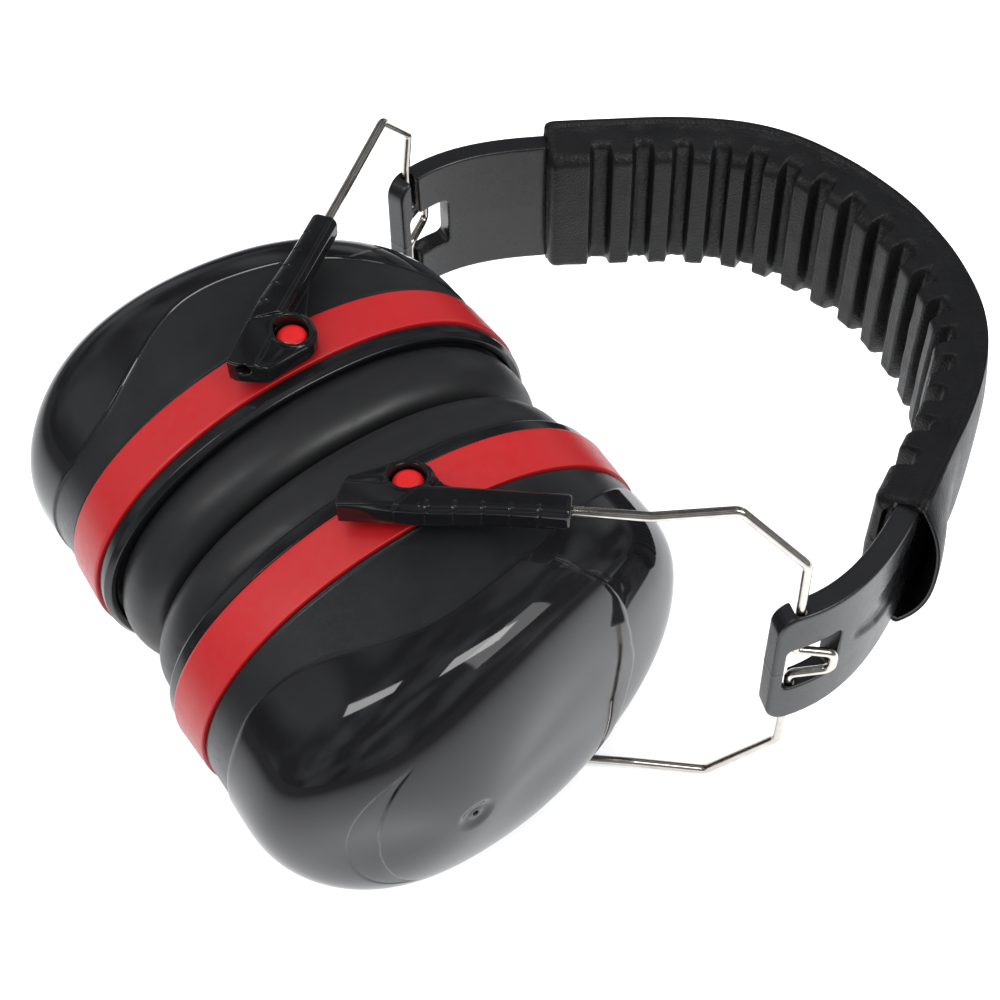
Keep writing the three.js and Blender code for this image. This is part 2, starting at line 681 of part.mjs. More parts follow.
// round-bottomed groove across the crest, open on the inner side
function ribGroove(s) {
  const { r } = GROOVE;
  const section = new THREE.Shape(vectors([[-r, -8], [r, -8], [r, 0]]));
  section.absarc(0, 0, r, 0, Math.PI);
  section.closePath();
  const halfLength = CREST_HALF + GROOVE.overrun;
  const groove = prism(section, 2 * halfLength, { curveSegments: 3 });
  const { normal } = frameAt(s);
  const { x, y } = strapPoint(s, GROOVE.depth + r);
  return solid(place(
    groove,
    new THREE.Vector3(x, y, -halfLength),
    new THREE.Vector3(normal.y, -normal.x, 0),
    new THREE.Vector3(normal.x, normal.y, 0),
    Z_AXIS,
  ));
}

// ribbed inner part of the sleeve
function makeRibbedCover() {
  const section = new THREE.Shape(vectors(HAT_SECTION.map(([z, depth]) => [z, -depth])));
  let rib = solid(new THREE.ExtrudeGeometry(section, {
    steps: PAD_STEPS,
    extrudePath: new PadPath(),
    bevelEnabled: false,
  }));
  for (let k = 0; k < GROOVE.count; k++) {
    rib = rib.subtract(ribGroove((k - (GROOVE.count - 1) / 2) * GROOVE.pitch));
  }
  return toGeometry(rib);
}

function makePadFoam() {
  return clean(across(bandShape(FOAM_S, FOAM_TOP, () => FOAM_TOP + FOAM_T, 40), FOAM_HALF));
}

// ------------------------------------------------------------------ assembly
const BLACK_GLOSS = { color: 0x0b0b0c, roughness: 0.12, metalness: 0 };
const BLACK_SATIN = { color: 0x161617, roughness: 0.42, metalness: 0 };
const BLACK_SOFT = { color: 0x1a1a1b, roughness: 0.5, metalness: 0 };
const LEATHERETTE = { color: 0x1b1b1c, roughness: 0.55, metalness: 0 };
const RED = { color: 0xa81e22, roughness: 0.38, metalness: 0 };
const RED_PIN = { color: 0xb4262a, roughness: 0.25, metalness: 0 };
const STEEL = { color: 0xb9b4ab, roughness: 0.22, metalness: 1 };
const FOAM = { color: 0x2a2a2c, roughness: 0.95, metalness: 0 };

function addMesh(parent, name, geometry, look) {
  geometry.computeVertexNormals();
  const mesh = new THREE.Mesh(geometry, new THREE.MeshStandardMaterial(look));
  mesh.name = name;
  parent.add(mesh);
}

function addGroup(parent) {
  const child = new THREE.Group();
  parent.add(child);
  return child;
}

const group = new THREE.Group();
group.position.set(0, -FRAME_Y, REST_Z);

const headband = addGroup(group);
addMesh(headband, 'headband_strap', makeStrap(), BLACK_SATIN);
addMesh(headband, 'pad_outer_cover', makeOuterCover(), LEATHERETTE);
addMesh(headband, 'pad_ribbed_cover', makeRibbedCover(), LEATHERETTE);
addMesh(headband, 'pad_foam_core', makePadFoam(), FOAM);

const pin = makePin();
const arm = makeArm();
const wire = makeWire();
const CUP_PIECES = [
  ['cup_shell', makeShell(), BLACK_GLOSS],
  ['cup_ring', makeRing(), RED],
  ['cushion_plate', turnedCup(PLATE_PROFILE, { closed: true }), BLACK_GLOSS],
  ['ear_cushion', turnedCup(CUSHION_PROFILE, { closed: true }), BLACK_SOFT],
  ['acoustic_foam', makeAcousticFoam(), FOAM],
  ['pivot_pin_front', pin, RED_PIN],
  ['pivot_pin_rear', mirrorZ(pin), RED_PIN],
];
const ARM_PIECES = [
  ['slider_arm_front', arm, BLACK_GLOSS],
  ['slider_arm_rear', mirrorZ(arm), BLACK_GLOSS],
];

for (const [side, toSide] of [['right', (geometry) => geometry.clone()], ['left', mirrorX]]) {
  for (const pieces of [CUP_PIECES, ARM_PIECES]) {
    const parent = addGroup(group);
    for (const [name, geometry, look] of pieces) {
      addMesh(parent, `${name}_${side}`, toSide(geometry), look);
    }
  }
  addMesh(group, `spring_wire_${side}`, toSide(wire), STEEL);
}

export default group;
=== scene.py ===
import math
import bmesh
import bpy
import numpy as np
from mathutils import Matrix, Vector

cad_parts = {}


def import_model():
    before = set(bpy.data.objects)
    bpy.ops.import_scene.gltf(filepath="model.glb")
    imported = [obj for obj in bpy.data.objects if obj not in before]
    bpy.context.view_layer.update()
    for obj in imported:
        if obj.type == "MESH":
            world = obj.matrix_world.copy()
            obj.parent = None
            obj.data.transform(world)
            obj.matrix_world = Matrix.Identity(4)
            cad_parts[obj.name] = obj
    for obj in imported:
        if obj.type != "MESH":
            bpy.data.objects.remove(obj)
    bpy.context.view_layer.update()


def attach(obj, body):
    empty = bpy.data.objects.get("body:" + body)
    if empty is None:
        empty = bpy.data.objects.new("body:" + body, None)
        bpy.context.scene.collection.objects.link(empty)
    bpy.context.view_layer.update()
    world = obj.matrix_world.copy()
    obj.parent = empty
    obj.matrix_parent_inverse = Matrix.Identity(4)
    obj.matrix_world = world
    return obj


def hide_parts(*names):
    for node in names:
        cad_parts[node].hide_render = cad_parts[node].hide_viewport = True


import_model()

# Lengths are millimetres in the layout frame: pivot pins on y = 0, planes of symmetry
# x = 0 and z = 0, same axes as the world.  The front of the headphones is +z.
MM = 0.001
LAYOUT_ORIGIN = np.array([0.0, -50.45, 49.56])


def world(points):
    """Layout millimetres to world metres."""
    return (np.asarray(points, float) + LAYOUT_ORIGIN) * MM


# ------------------------------------------------------------------ numerics
def smooth_step(start, end, x):
    t = np.clip((np.asarray(x, float) - start) / (end - start), 0, 1)
    return t * t * (3 - 2 * t)


def cubic_spline(xs, ys):
    """Natural cubic spline through the points, as a function of x."""
    count = len(xs)
    step = np.diff(xs)
    matrix, rhs = np.zeros((count, count)), np.zeros(count)
    for i in range(1, count - 1):
        matrix[i, i - 1:i + 2] = step[i - 1], 2 * (step[i - 1] + step[i]), step[i]
        rhs[i] = 6 * ((ys[i + 1] - ys[i]) / step[i] - (ys[i] - ys[i - 1]) / step[i - 1])
    matrix[0, 0] = matrix[-1, -1] = 1
    bend = np.linalg.solve(matrix, rhs)

    def evaluate(x):
        i = np.clip(np.searchsorted(xs, x) - 1, 0, count - 2)
        before, after = x - xs[i], xs[i + 1] - x
        return (bend[i] * after ** 3 + bend[i + 1] * before ** 3) / (6 * step[i]) \
            + (ys[i] / step[i] - bend[i] * step[i] / 6) * after \
            + (ys[i + 1] / step[i] - bend[i + 1] * step[i] / 6) * before
    return evaluate


def arc_length(x, y, x_scale=1):
    """Running length of a plane polyline."""
    return np.r_[0, np.cumsum(np.hypot(np.diff(x) * x_scale, np.diff(y)))]


def blur_periodic(values, sigma):
    """Gaussian blur of a closed sequence, sigma in samples."""
    count = len(values)
    k = np.fft.rfftfreq(count, 1 / count)
    gain = np.exp(-0.5 * (2 * np.pi * k / count * sigma) ** 2)
    return np.fft.irfft(np.fft.rfft(values) * gain, count)


def value_noise(points, cell, seed):
    """Smooth noise in -1..1 at points (..., 3) with the given cell size."""
    scaled = np.asarray(points, float) / cell
    base = np.floor(scaled).astype(np.int64)
    f = scaled - base
    f = f * f * f * (f * (f * 6 - 15) + 10)
    total = 0.0
    for dx in (0, 1):
        for dy in (0, 1):
            for dz in (0, 1):
                a, b, c = base[..., 0] + dx, base[..., 1] + dy, base[..., 2] + dz
                mixed = (a * 73856093) ^ (b * 19349663) ^ (c * 83492791) ^ (seed * 2654435761)
                mixed = (mixed ^ (mixed >> 13)) * 1274126177
                value = ((mixed ^ (mixed >> 16)) & 0xFFFF) / 32767.5 - 1
                weight = (f[..., 0] if dx else 1 - f[..., 0]) \
                    * (f[..., 1] if dy else 1 - f[..., 1]) \
                    * (f[..., 2] if dz else 1 - f[..., 2])
                total = total + value * weight
    return total


def fillet(corners, radii, steps, closed=True):
    """A plane polyline with its corners rounded."""
    corners = np.asarray(corners, float)
    count = len(corners)
    out = []
    for i, (corner, radius) in enumerate(zip(corners, radii)):
        if radius <= 0 or (not closed and i in (0, count - 1)):
            out.append(corner)
            continue
        back, ahead = corners[i - 1] - corner, corners[(i + 1) % count] - corner
        back_length, ahead_length = np.linalg.norm(back), np.linalg.norm(ahead)
        back, ahead = back / back_length, ahead / ahead_length
        angle = math.acos(np.clip(back @ ahead, -1, 1))
        if angle > math.pi - 0.03:
            out.append(corner)
            continue
        cut = min(radius / math.tan(angle / 2), 0.48 * back_length, 0.48 * ahead_length)
        start, end = corner + back * cut, corner + ahead * cut
        for k in range(steps + 1):
            t = k / steps
            out.append((1 - t) ** 2 * start + 2 * t * (1 - t) * corner + t * t * end)
    return np.array(out)


# -------------------------------------------------------------------- meshes
def ring_faces(rows, columns, closed=False):
    """Quads between rows of points, each row a loop; closed joins the last row to the first."""
    row = np.arange(rows if closed else rows - 1)[:, None]
    column = np.arange(columns)
    next_row, next_column = (row + 1) % rows, (column + 1) % columns
    return np.stack([row * columns + column, next_row * columns + column,
                     next_row * columns + next_column, row * columns + next_column],
                    -1).reshape(-1, 4)


def signed_volume(verts, faces):
    total = 0.0
    for block in faces:
        first = verts[block[:, 0]]
        for k in range(1, block.shape[1] - 1):
            normal = np.cross(verts[block[:, k]], verts[block[:, k + 1]])
            total += np.einsum("ij,ij->i", first, normal).sum()
    return total


def make(name, points, faces, materials, index=None, weld=0.0):
    """A smooth object from layout points; faces is a list of index arrays, turned outwards."""
    verts = world(points)
    order = -1 if signed_volume(verts, faces) < 0 else 1
    face_list = []
    for block in faces:
        face_list += block[:, ::order].tolist()
    mesh = bpy.data.meshes.new(name)
    mesh.from_pydata(verts.tolist(), [], face_list)
    for item in materials:
        mesh.materials.append(item)
    if index is not None:
        mesh.polygons.foreach_set("material_index", np.asarray(index, np.int32))
    mesh.polygons.foreach_set("use_smooth", np.ones(len(mesh.polygons), bool))
    mesh.update()
    obj = bpy.data.objects.new(name, mesh)
    bpy.context.scene.collection.objects.link(obj)
    if weld:
        bm = bmesh.new()
        bm.from_mesh(mesh)
        bmesh.ops.remove_doubles(bm, verts=bm.verts, dist=weld)
        bmesh.ops.dissolve_degenerate(bm, dist=1e-7, edges=bm.edges)
        bm.to_mesh(mesh)
        bm.free()
        mesh.update()
    return obj


def make_rings(name, points, materials, side=1, face=1, closed=False, index=None, weld=0.0):
    """Object from rows of looped points; side and face (1 or -1) mirror it in x and z."""
    faces = ring_faces(*points.shape[:2], closed)
    points = (points * np.array([side, 1, face])).reshape(-1, 3)
    return make(name, points, [faces], materials, index, weld)


def surface_net(field, xs, ys, zs):
    """The surface field(x, y, z) = 0 (inside negative) on a rectangular grid, as quads."""
    axes = (xs, ys, zs)
    values = field(*np.meshgrid(*axes, indexing="ij"))
    size = np.array(values.shape)
    inside = values < 0
    total, count = np.zeros((*(size - 1), 3)), np.zeros(size - 1)
    cells = np.stack(np.meshgrid(*[np.arange(k - 1) for k in size], indexing="ij"), -1)
    cells = cells.astype(float)
    crossings = []
    for axis in range(3):
        low = tuple(slice(0, -1) if k == axis else slice(None) for k in range(3))
        high = tuple(slice(1, None) if k == axis else slice(None) for k in range(3))
        a, b = values[low], values[high]
        crossed = inside[low] != inside[high]
        where = np.where(crossed, a / np.where(crossed, a - b, 1), 0)
        crossings.append((crossed, inside[low]))
        axis_1, axis_2 = [k for k in range(3) if k != axis]
        for d1 in (0, 1):
            for d2 in (0, 1):
                part = [slice(None)] * 3
                part[axis_1] = slice(d1, d1 + size[axis_1] - 1)
                part[axis_2] = slice(d2, d2 + size[axis_2] - 1)
                part = tuple(part)
                at = cells.copy()
                at[..., axis] += where[part]
                at[..., axis_1] += d1
                at[..., axis_2] += d2
                total += at * crossed[part][..., None]
                count += crossed[part]
    active = count > 0
    ids = np.full(active.shape, -1)
    ids[active] = np.arange(active.sum())
    mean = total[active] / count[active][:, None]
    verts = np.stack([np.interp(mean[:, k], np.arange(size[k]), axes[k]) for k in range(3)], -1)

    quads = []
    for axis, (axis_1, axis_2) in enumerate([(1, 2), (2, 0), (0, 1)]):
        crossed, starts_inside = crossings[axis]
        edges = np.argwhere(crossed)
        edges = edges[(edges[:, axis_1] > 0) & (edges[:, axis_2] > 0)
                      & (edges[:, axis_1] < size[axis_1] - 1)
                      & (edges[:, axis_2] < size[axis_2] - 1)]
        corners = []
        for d1, d2 in ((-1, -1), (0, -1), (0, 0), (-1, 0)):
            cell = edges.copy()
            cell[:, axis_1] += d1
            cell[:, axis_2] += d2
            corners.append(ids[tuple(cell.T)])
        quad = np.stack(corners, -1)
        turned = ~starts_inside[tuple(edges.T)]
        quad[turned] = quad[turned][:, ::-1]
        quads.append(quad)

    # pull the vertices onto the surface, at most 0.12 mm at a time
    offsets = 0.02 * np.eye(3)
    for _ in range(3):
        value = field(*verts.T)
        slope = np.stack([(field(*(verts + offset).T) - field(*(verts - offset).T)) / (2 * 0.02)
                          for offset in offsets], -1)
        move = -value[:, None] * slope \
            / np.maximum((slope * slope).sum(-1, keepdims=True), 0.05)
        length = np.linalg.norm(move, axis=1, keepdims=True)
        verts = verts + move * np.minimum(1, 0.12 / np.maximum(length, 1e-9))
    return verts, np.concatenate(quads)


# Signed distances and their blends: negative is inside.
def smooth_min(a, b, blend):
    h = np.clip(0.5 + 0.5 * (b - a) / blend, 0, 1)
    return b + (a - b) * h - blend * h * (1 - h)


def smooth_max(a, b, blend):
    return -smooth_min(-a, -b, blend)


def quadrant(x, y):
    """Distance to the corner region x < 0, y < 0."""
    return np.minimum(np.maximum(x, y), 0) + np.hypot(np.maximum(x, 0), np.maximum(y, 0))


def rounded_box(x, y, half_x, half_y, radius):
    return quadrant(np.abs(x) - half_x + radius, np.abs(y) - half_y + radius) - radius


def polygon(x, y, points):
    """Signed distance to a closed polygon in the plane."""
    points = np.asarray(points, float)
    squared = np.full(np.shape(x), 1e18)
    sign = np.ones(np.shape(x))
    for start, end in zip(points, np.roll(points, 1, 0)):
        edge_x, edge_y = end - start
        to_x, to_y = x - start[0], y - start[1]
        t = np.clip((to_x * edge_x + to_y * edge_y) / (edge_x * edge_x + edge_y * edge_y), 0, 1)
        squared = np.minimum(squared, (to_x - edge_x * t) ** 2 + (to_y - edge_y * t) ** 2)
        above, below, left = y >= start[1], y < end[1], edge_x * to_y > edge_y * to_x
        sign = np.where((above & below & left) | (~above & ~below & ~left), -sign, sign)
    return sign * np.sqrt(squared)


# ----------------------------------------------------------------- materials
def add_node(tree, kind, inputs=None, **properties):
    """New shader node; an input given as a socket is linked, any other is set."""
    node = tree.nodes.new("ShaderNode" + kind)
    for key, value in properties.items():
        setattr(node, key, value)
    for key, value in (inputs or {}).items():
        if isinstance(value, bpy.types.NodeSocket):
            tree.links.new(value, node.inputs[key])
        else:
            node.inputs[key].default_value = value
    return node


def material(name, colour, roughness, mottle, wear, relief=(), specular=0.5, metallic=0.0,
             sheen=0.0):
    """Principled material with procedural colour, roughness and relief.
    mottle: (noise scale per metre, share of the colour it varies by)
    wear: (noise scale per metre, roughness either way)
    relief: (pattern, scale per metre, height in mm, strength) for each bump."""
    made = bpy.data.materials.new(name)
    made.use_nodes = True
    tree = made.node_tree
    shader = tree.nodes["Principled BSDF"]
    for key, value in {"Metallic": metallic, "Specular IOR Level": specular,
                       "Coat Roughness": 0.05, "Sheen Weight": sheen}.items():
        shader.inputs[key].default_value = value
    place = add_node(tree, "TexCoord").outputs["Object"]

    def noise(scale, detail=3.0, rough=0.55, vector=place, output="Fac"):
        return add_node(tree, "TexNoise", {"Scale": scale, "Detail": detail, "Roughness": rough,
                                           "Vector": vector}).outputs[output]

    def pattern(kind, scale):
        if kind == "noise":
            return noise(scale, rough=0.5)
        if kind == "pebble":
            return add_node(tree, "TexVoronoi", {"Scale": scale, "Smoothness": 0.6,
                            "Vector": place}, feature="SMOOTH_F1").outputs["Distance"]
        if kind == "crease":        # cell edges on warped coordinates
            warped = add_node(tree, "MixRGB", {
                "Fac": 0.6 / scale, "Color1": place,
                "Color2": noise(scale * 0.6, 2.0, output="Color")}, blend_type="ADD")
            cells = add_node(tree, "TexVoronoi", {
                "Scale": scale, "Vector": warped.outputs["Color"]}, feature="DISTANCE_TO_EDGE")
            return add_node(tree, "MapRange", {
                "From Min": 0.0, "From Max": 0.25,
                "Value": cells.outputs["Distance"]}).outputs["Result"]
        # "drawn": noise stretched along z
        stretched = add_node(tree, "Mapping", {"Scale": (1.0, 1.0, 0.15), "Vector": place})
        return noise(scale, 2.0, 0.5, stretched.outputs["Vector"])

    scale, amount = mottle
    ramp = add_node(tree, "ValToRGB", {"Fac": noise(scale, 4.0)})
    dark, light = ramp.color_ramp.elements
    dark.position, light.position = 0.3, 0.7
    dark.color = (*(c * (1 - amount) for c in colour), 1.0)
    light.color = (*(min(1, c * (1 + amount)) for c in colour), 1.0)
    tree.links.new(ramp.outputs["Color"], shader.inputs["Base Color"])

    scale, amount = wear
    spread = add_node(tree, "MapRange", {
        "From Min": 0.3, "From Max": 0.7, "To Min": roughness - amount,
        "To Max": roughness + amount, "Value": noise(scale, 5.0, 0.6)})
    tree.links.new(spread.outputs["Result"], shader.inputs["Roughness"])

    normal = None
    for kind, scale, height, strength in relief:
        inputs = {"Height": pattern(kind, scale), "Distance": height * MM, "Strength": strength}
        if normal:
            inputs["Normal"] = normal
        normal = add_node(tree, "Bump", inputs).outputs["Normal"]
    if normal:
        tree.links.new(normal, shader.inputs["Normal"])
    return made


GLOSS = material(
    "gloss_black", colour=(0.0060, 0.0060, 0.0066), roughness=0.055,
    mottle=(60, 0.25), wear=(220, 0.018), relief=[("noise", 90, 0.010, 0.35)])
GLOSS_ARM = material(
    "gloss_black_arm", colour=(0.0045, 0.0045, 0.0049), roughness=0.115,
    mottle=(120, 0.25), wear=(420, 0.05), relief=[("noise", 420, 0.03, 0.35)])
COLLAR = material(
    "satin_black_collar", colour=(0.0070, 0.0072, 0.0078), roughness=0.33,
    mottle=(90, 0.2), wear=(700, 0.05),
    relief=[("noise", 2600, 0.06, 0.55), ("noise", 300, 0.03, 0.3)])
STRAP = material(
    "satin_black_strap", colour=(0.0060, 0.0060, 0.0066), roughness=0.27,
    mottle=(50, 0.2), wear=(160, 0.035), specular=0.6,
    relief=[("noise", 900, 0.006, 0.25), ("noise", 110, 0.04, 0.3)])
LIP = material(
    "gloss_black_lip", colour=(0.0055, 0.0055, 0.0060), roughness=0.15,
    mottle=(70, 0.2), wear=(400, 0.04), relief=[("noise", 500, 0.02, 0.3)])
RED = material(
    "red_satin", colour=(0.265, 0.0050, 0.0062), roughness=0.33,
    mottle=(35, 0.06), wear=(500, 0.05), specular=0.45,
    relief=[("noise", 2400, 0.05, 0.5), ("noise", 120, 0.03, 0.25)])
RED_PIN = material(
    "red_gloss", colour=(0.36, 0.008, 0.0085), roughness=0.20,
    mottle=(200, 0.05), wear=(900, 0.05), relief=[("noise", 500, 0.03, 0.35)])
STEEL = material(
    "spring_steel", colour=(0.66, 0.62, 0.57), roughness=0.17, metallic=1.0,
    mottle=(300, 0.12), wear=(900, 0.06), relief=[("drawn", 3500, 0.02, 0.3)])
LEATHER = material(
    "leatherette", colour=(0.0045, 0.0045, 0.0049), roughness=0.40,
    mottle=(120, 0.2), wear=(260, 0.06), specular=0.34,
    relief=[("crease", 900, 0.085, 0.6), ("noise", 260, 0.13, 0.4), ("noise", 3200, 0.03, 0.4)])
LEATHER_OUT = material(
    "leatherette_outer", colour=(0.0040, 0.0040, 0.0044), roughness=0.42,
    mottle=(120, 0.2), wear=(260, 0.06), specular=0.36,
    relief=[("crease", 1100, 0.07, 0.5), ("noise", 150, 0.12, 0.4)])
SKIN = material(
    "cushion_skin", colour=(0.0085, 0.0085, 0.0090), roughness=0.40,
    mottle=(60, 0.15), wear=(300, 0.05),
    relief=[("noise", 1500, 0.03, 0.4), ("noise", 110, 0.05, 0.35)])
FOAM = material(
    "open_cell_foam", colour=(0.016, 0.016, 0.017), roughness=0.9,
    mottle=(900, 0.5), wear=(500, 0.06), specular=0.2, sheen=0.2,
    relief=[("pebble", 1500, 0.5, 0.9), ("noise", 600, 0.3, 0.6)])
LINING = material(
    "cover_lining", colour=(0.006, 0.006, 0.0065), roughness=0.8,
    mottle=(200, 0.3), wear=(300, 0.08), specular=0.3, relief=[("noise", 2200, 0.08, 0.6)])

# ---------------------------------------------------------------------- cups
# The cup axis runs along x; "height" is the distance from x = 0.  The rim is made of two
# half superellipses in y and z; its upper end points to +y, towards the headband.
RIM_HALF_Z = 41.1
RIM_WIDEST_Y = 6.0
RIM_UP, RIM_DOWN = 48.3, 62.6          # reach from the widest place
RIM_POWER_UP, RIM_POWER_DOWN = 2.2, 2.0
CUP_Y = -1.2                           # y of the axis that profiles scale about
LEAN = -15.6                           # y shift of the dome, 45 mm above the parting line
PARTING = 31.0                         # height of the dome's edge, over the red ring
NOMINAL_R = 50                         # radius at which cup profiles are drawn
DOME_RISE = 44.3
MERIDIAN_SAMPLES = 1400
COLUMNS = 360


def signed_power(base, exponent):
    return np.sign(base) * np.abs(base) ** (2 / exponent)


ANGLE = np.arange(COLUMNS) * 2 * np.pi / COLUMNS
COS = np.cos(ANGLE)
RIM_Y = blur_periodic(
    RIM_WIDEST_Y - CUP_Y + np.where(COS > 0, RIM_UP, RIM_DOWN)
    * signed_power(COS, np.where(COS > 0, RIM_POWER_UP, RIM_POWER_DOWN)), COLUMNS * 0.011)
RIM_Z = blur_periodic(
    RIM_HALF_Z * signed_power(np.sin(ANGLE), np.where(COS > 0, RIM_POWER_UP, RIM_POWER_DOWN)),
    COLUMNS * 0.011)
# 0 at the upper end, 180 at the lower
DEGREES = np.degrees(np.minimum(ANGLE, 2 * np.pi - ANGLE))


def cup_points(fraction, height, leaning=0):
    """Points from rim fraction and height, both (rows, COLUMNS); leaning=1 tips the dome."""
    lean = LEAN * np.maximum(0, (height - PARTING) / 45) ** 3.38
    return np.stack([height, CUP_Y + RIM_Y * fraction + leaning * lean, RIM_Z * fraction], -1)


def round_cup(fraction, height, leaning=0):
    """Points of a profile carried round the cup."""
    columns = [np.repeat(values[:, None], COLUMNS, 1) for values in (fraction, height)]
    return cup_points(*columns, leaning)


def build_turned_ring(name, side, profile, radii, finish):
    """Closed ring from (radius at NOMINAL_R, height) corners."""
    radius, height = fillet(profile, radii, 5).T
    return make_rings(name, round_cup(radius / NOMINAL_R, height), [finish], side, closed=True)


def meridians():
    """Rim fraction, rise and length of the dome's meridians, crown to edge.
    The upper end has a long facet-like slope, the others full shoulders."""
    cos_2 = np.cos(2 * ANGLE)
    rise_power = np.exp(1.83 - 0.068 * COS - 0.19 * cos_2)
    radius_power = np.exp(1.379 + 1.225 * COS + 0.129 * cos_2 - 0.89 * COS ** 3)
    t = np.pi / 2 * (1 - (1 - np.linspace(0, 1, 3000)) ** 3.5)
    sin_t, cos_t = np.sin(t), np.maximum(0, np.cos(t))
    cos_t[-1] = 0
    fractions, rises = np.zeros((2, MERIDIAN_SAMPLES, COLUMNS))
    lengths = np.zeros(COLUMNS)
    for i in range(COLUMNS):
        fraction = 0.988 * (0.16 * sin_t + 0.84 * sin_t ** radius_power[i])
        rise = DOME_RISE * cos_t ** (2 / rise_power[i])
        run = arc_length(fraction, rise, 52)
        lengths[i] = run[-1]
        even = np.linspace(0, run[-1], MERIDIAN_SAMPLES)
        fractions[:, i] = np.interp(even, run, fraction)
        rises[:, i] = np.interp(even, run, rise)
    return fractions, rises, lengths


MERIDIAN_FRACTION, MERIDIAN_RISE, MERIDIAN_LENGTH = meridians()


def dome_points(arc, drop=0.0, shrink=1.0):
    """Points at arc lengths (rows, COLUMNS) from the crown, the crown lowered by drop."""
    x = np.clip(arc / MERIDIAN_LENGTH[None], 0, 1) * (MERIDIAN_SAMPLES - 1)
    i = np.minimum(x.astype(int), MERIDIAN_SAMPLES - 2)
    w = x - i
    j = np.arange(COLUMNS)[None] + 0 * i
    fraction = MERIDIAN_FRACTION[i, j] * (1 - w) + MERIDIAN_FRACTION[i + 1, j] * w
    rise = MERIDIAN_RISE[i, j] * (1 - w) + MERIDIAN_RISE[i + 1, j] * w
    height = PARTING + rise * (DOME_RISE - drop) / DOME_RISE
    return cup_points(fraction * shrink, height, 1)


def arc_at_height(height):
    """Arc length from the crown to a height, one per meridian."""
    even = np.linspace(0, 1, MERIDIAN_SAMPLES)
    return np.array([np.interp(-(height[i] - PARTING), -MERIDIAN_RISE[:, i], even)
                     * MERIDIAN_LENGTH[i] for i in range(COLUMNS)])


def around(knots, sigma):
    """Values from (degrees, value) knots, mirrored and blurred by sigma degrees."""
    degrees, values = np.array(knots, float).T
    return blur_periodic(np.interp(DEGREES, degrees, values), sigma * COLUMNS / 360)


# Border of the gloss cap and the satin collar: (degrees, height)
BORDER = arc_at_height(around([
    (0, 35.2), (28, 35.2), (37, 35.9), (51, 39.1), (59, 41.4), (71, 45.4), (80, 48.2),
    (90, 50.6), (99, 52.4), (107, 52.3), (116, 49.3), (125, 44.6), (135, 40.6), (149, 38.9),
    (161, 40.4), (180, 41.2)], 3.0))
# Two creases across the cap: (degrees, share of the meridian from the crown)
CREASE_1 = around([
    (0, .505), (15, .502), (30, .522), (45, .565), (55, .605), (65, .652), (72, .690),
    (78, .715), (90, .66), (105, .52), (118, .435), (125, .413), (131, .398), (138, .377),
    (149, .352), (160, .339), (180, .326)], 1.6) * MERIDIAN_LENGTH
CREASE_2 = around([
    (0, .70), (60, .72), (90, .68), (105, .545), (118, .450), (125, .424), (131, .424),
    (140, .431), (150, .433), (165, .430), (180, .429)], 1.6) * MERIDIAN_LENGTH
CREASE_1 = np.minimum(CREASE_1, BORDER - 1.8)
CREASE_2 = np.clip(CREASE_2, CREASE_1 + 0.7, BORDER - 0.9)
STEP_DEPTH = 0.42
FACET_STEP = STEP_DEPTH * (1 - smooth_step(66, 80, DEGREES))       # at the upper end
CRESCENT_STEP = STEP_DEPTH * smooth_step(122, 134, DEGREES)        # at the lower end


def softened_heights(points, reach=27.0, sigma=5.5):
    """Heights near the crown averaged over their surroundings, to round it off."""
    crown = points[0].mean(0)
    distance = np.hypot(points[..., 1] - crown[1], points[..., 2] - crown[2])
    blend = 1 - smooth_step(0.15 * reach, reach, distance)
    # samples of the plain surface, weighted by plan area
    share = np.linspace(0.0, 1.0, 150)[:-1] ** 1.3 * 0.80
    samples = dome_points(share[:, None] * MERIDIAN_LENGTH[None])
    _, y, z = np.moveaxis(samples, -1, 0)
    plan_area = np.abs(np.gradient(y, axis=0) * np.gradient(z, axis=1)
                       - np.gradient(z, axis=0) * np.gradient(y, axis=1))
    near = np.hypot(y - crown[1], z - crown[2]) < reach + 3 * sigma
    near[:, np.arange(COLUMNS) % 4 != 0] = False
    samples, plan_area = samples[near], plan_area[near]
    heights = points[..., 0].copy()
    chosen = np.argwhere(blend > 1e-4)
    for k in range(0, len(chosen), 400):
        row, column = chosen[k:k + 400].T
        p = points[row, column]
        weight = np.exp(-((p[:, None, 1] - samples[None, :, 1]) ** 2
                          + (p[:, None, 2] - samples[None, :, 2]) ** 2)
                        / (2 * sigma ** 2)) * plan_area[None]
        mean = (weight * samples[None, :, 0]).sum(1) / weight.sum(1)
        w = blend[row, column]
        heights[row, column] = p[:, 0] * (1 - w) + mean * w
    return heights


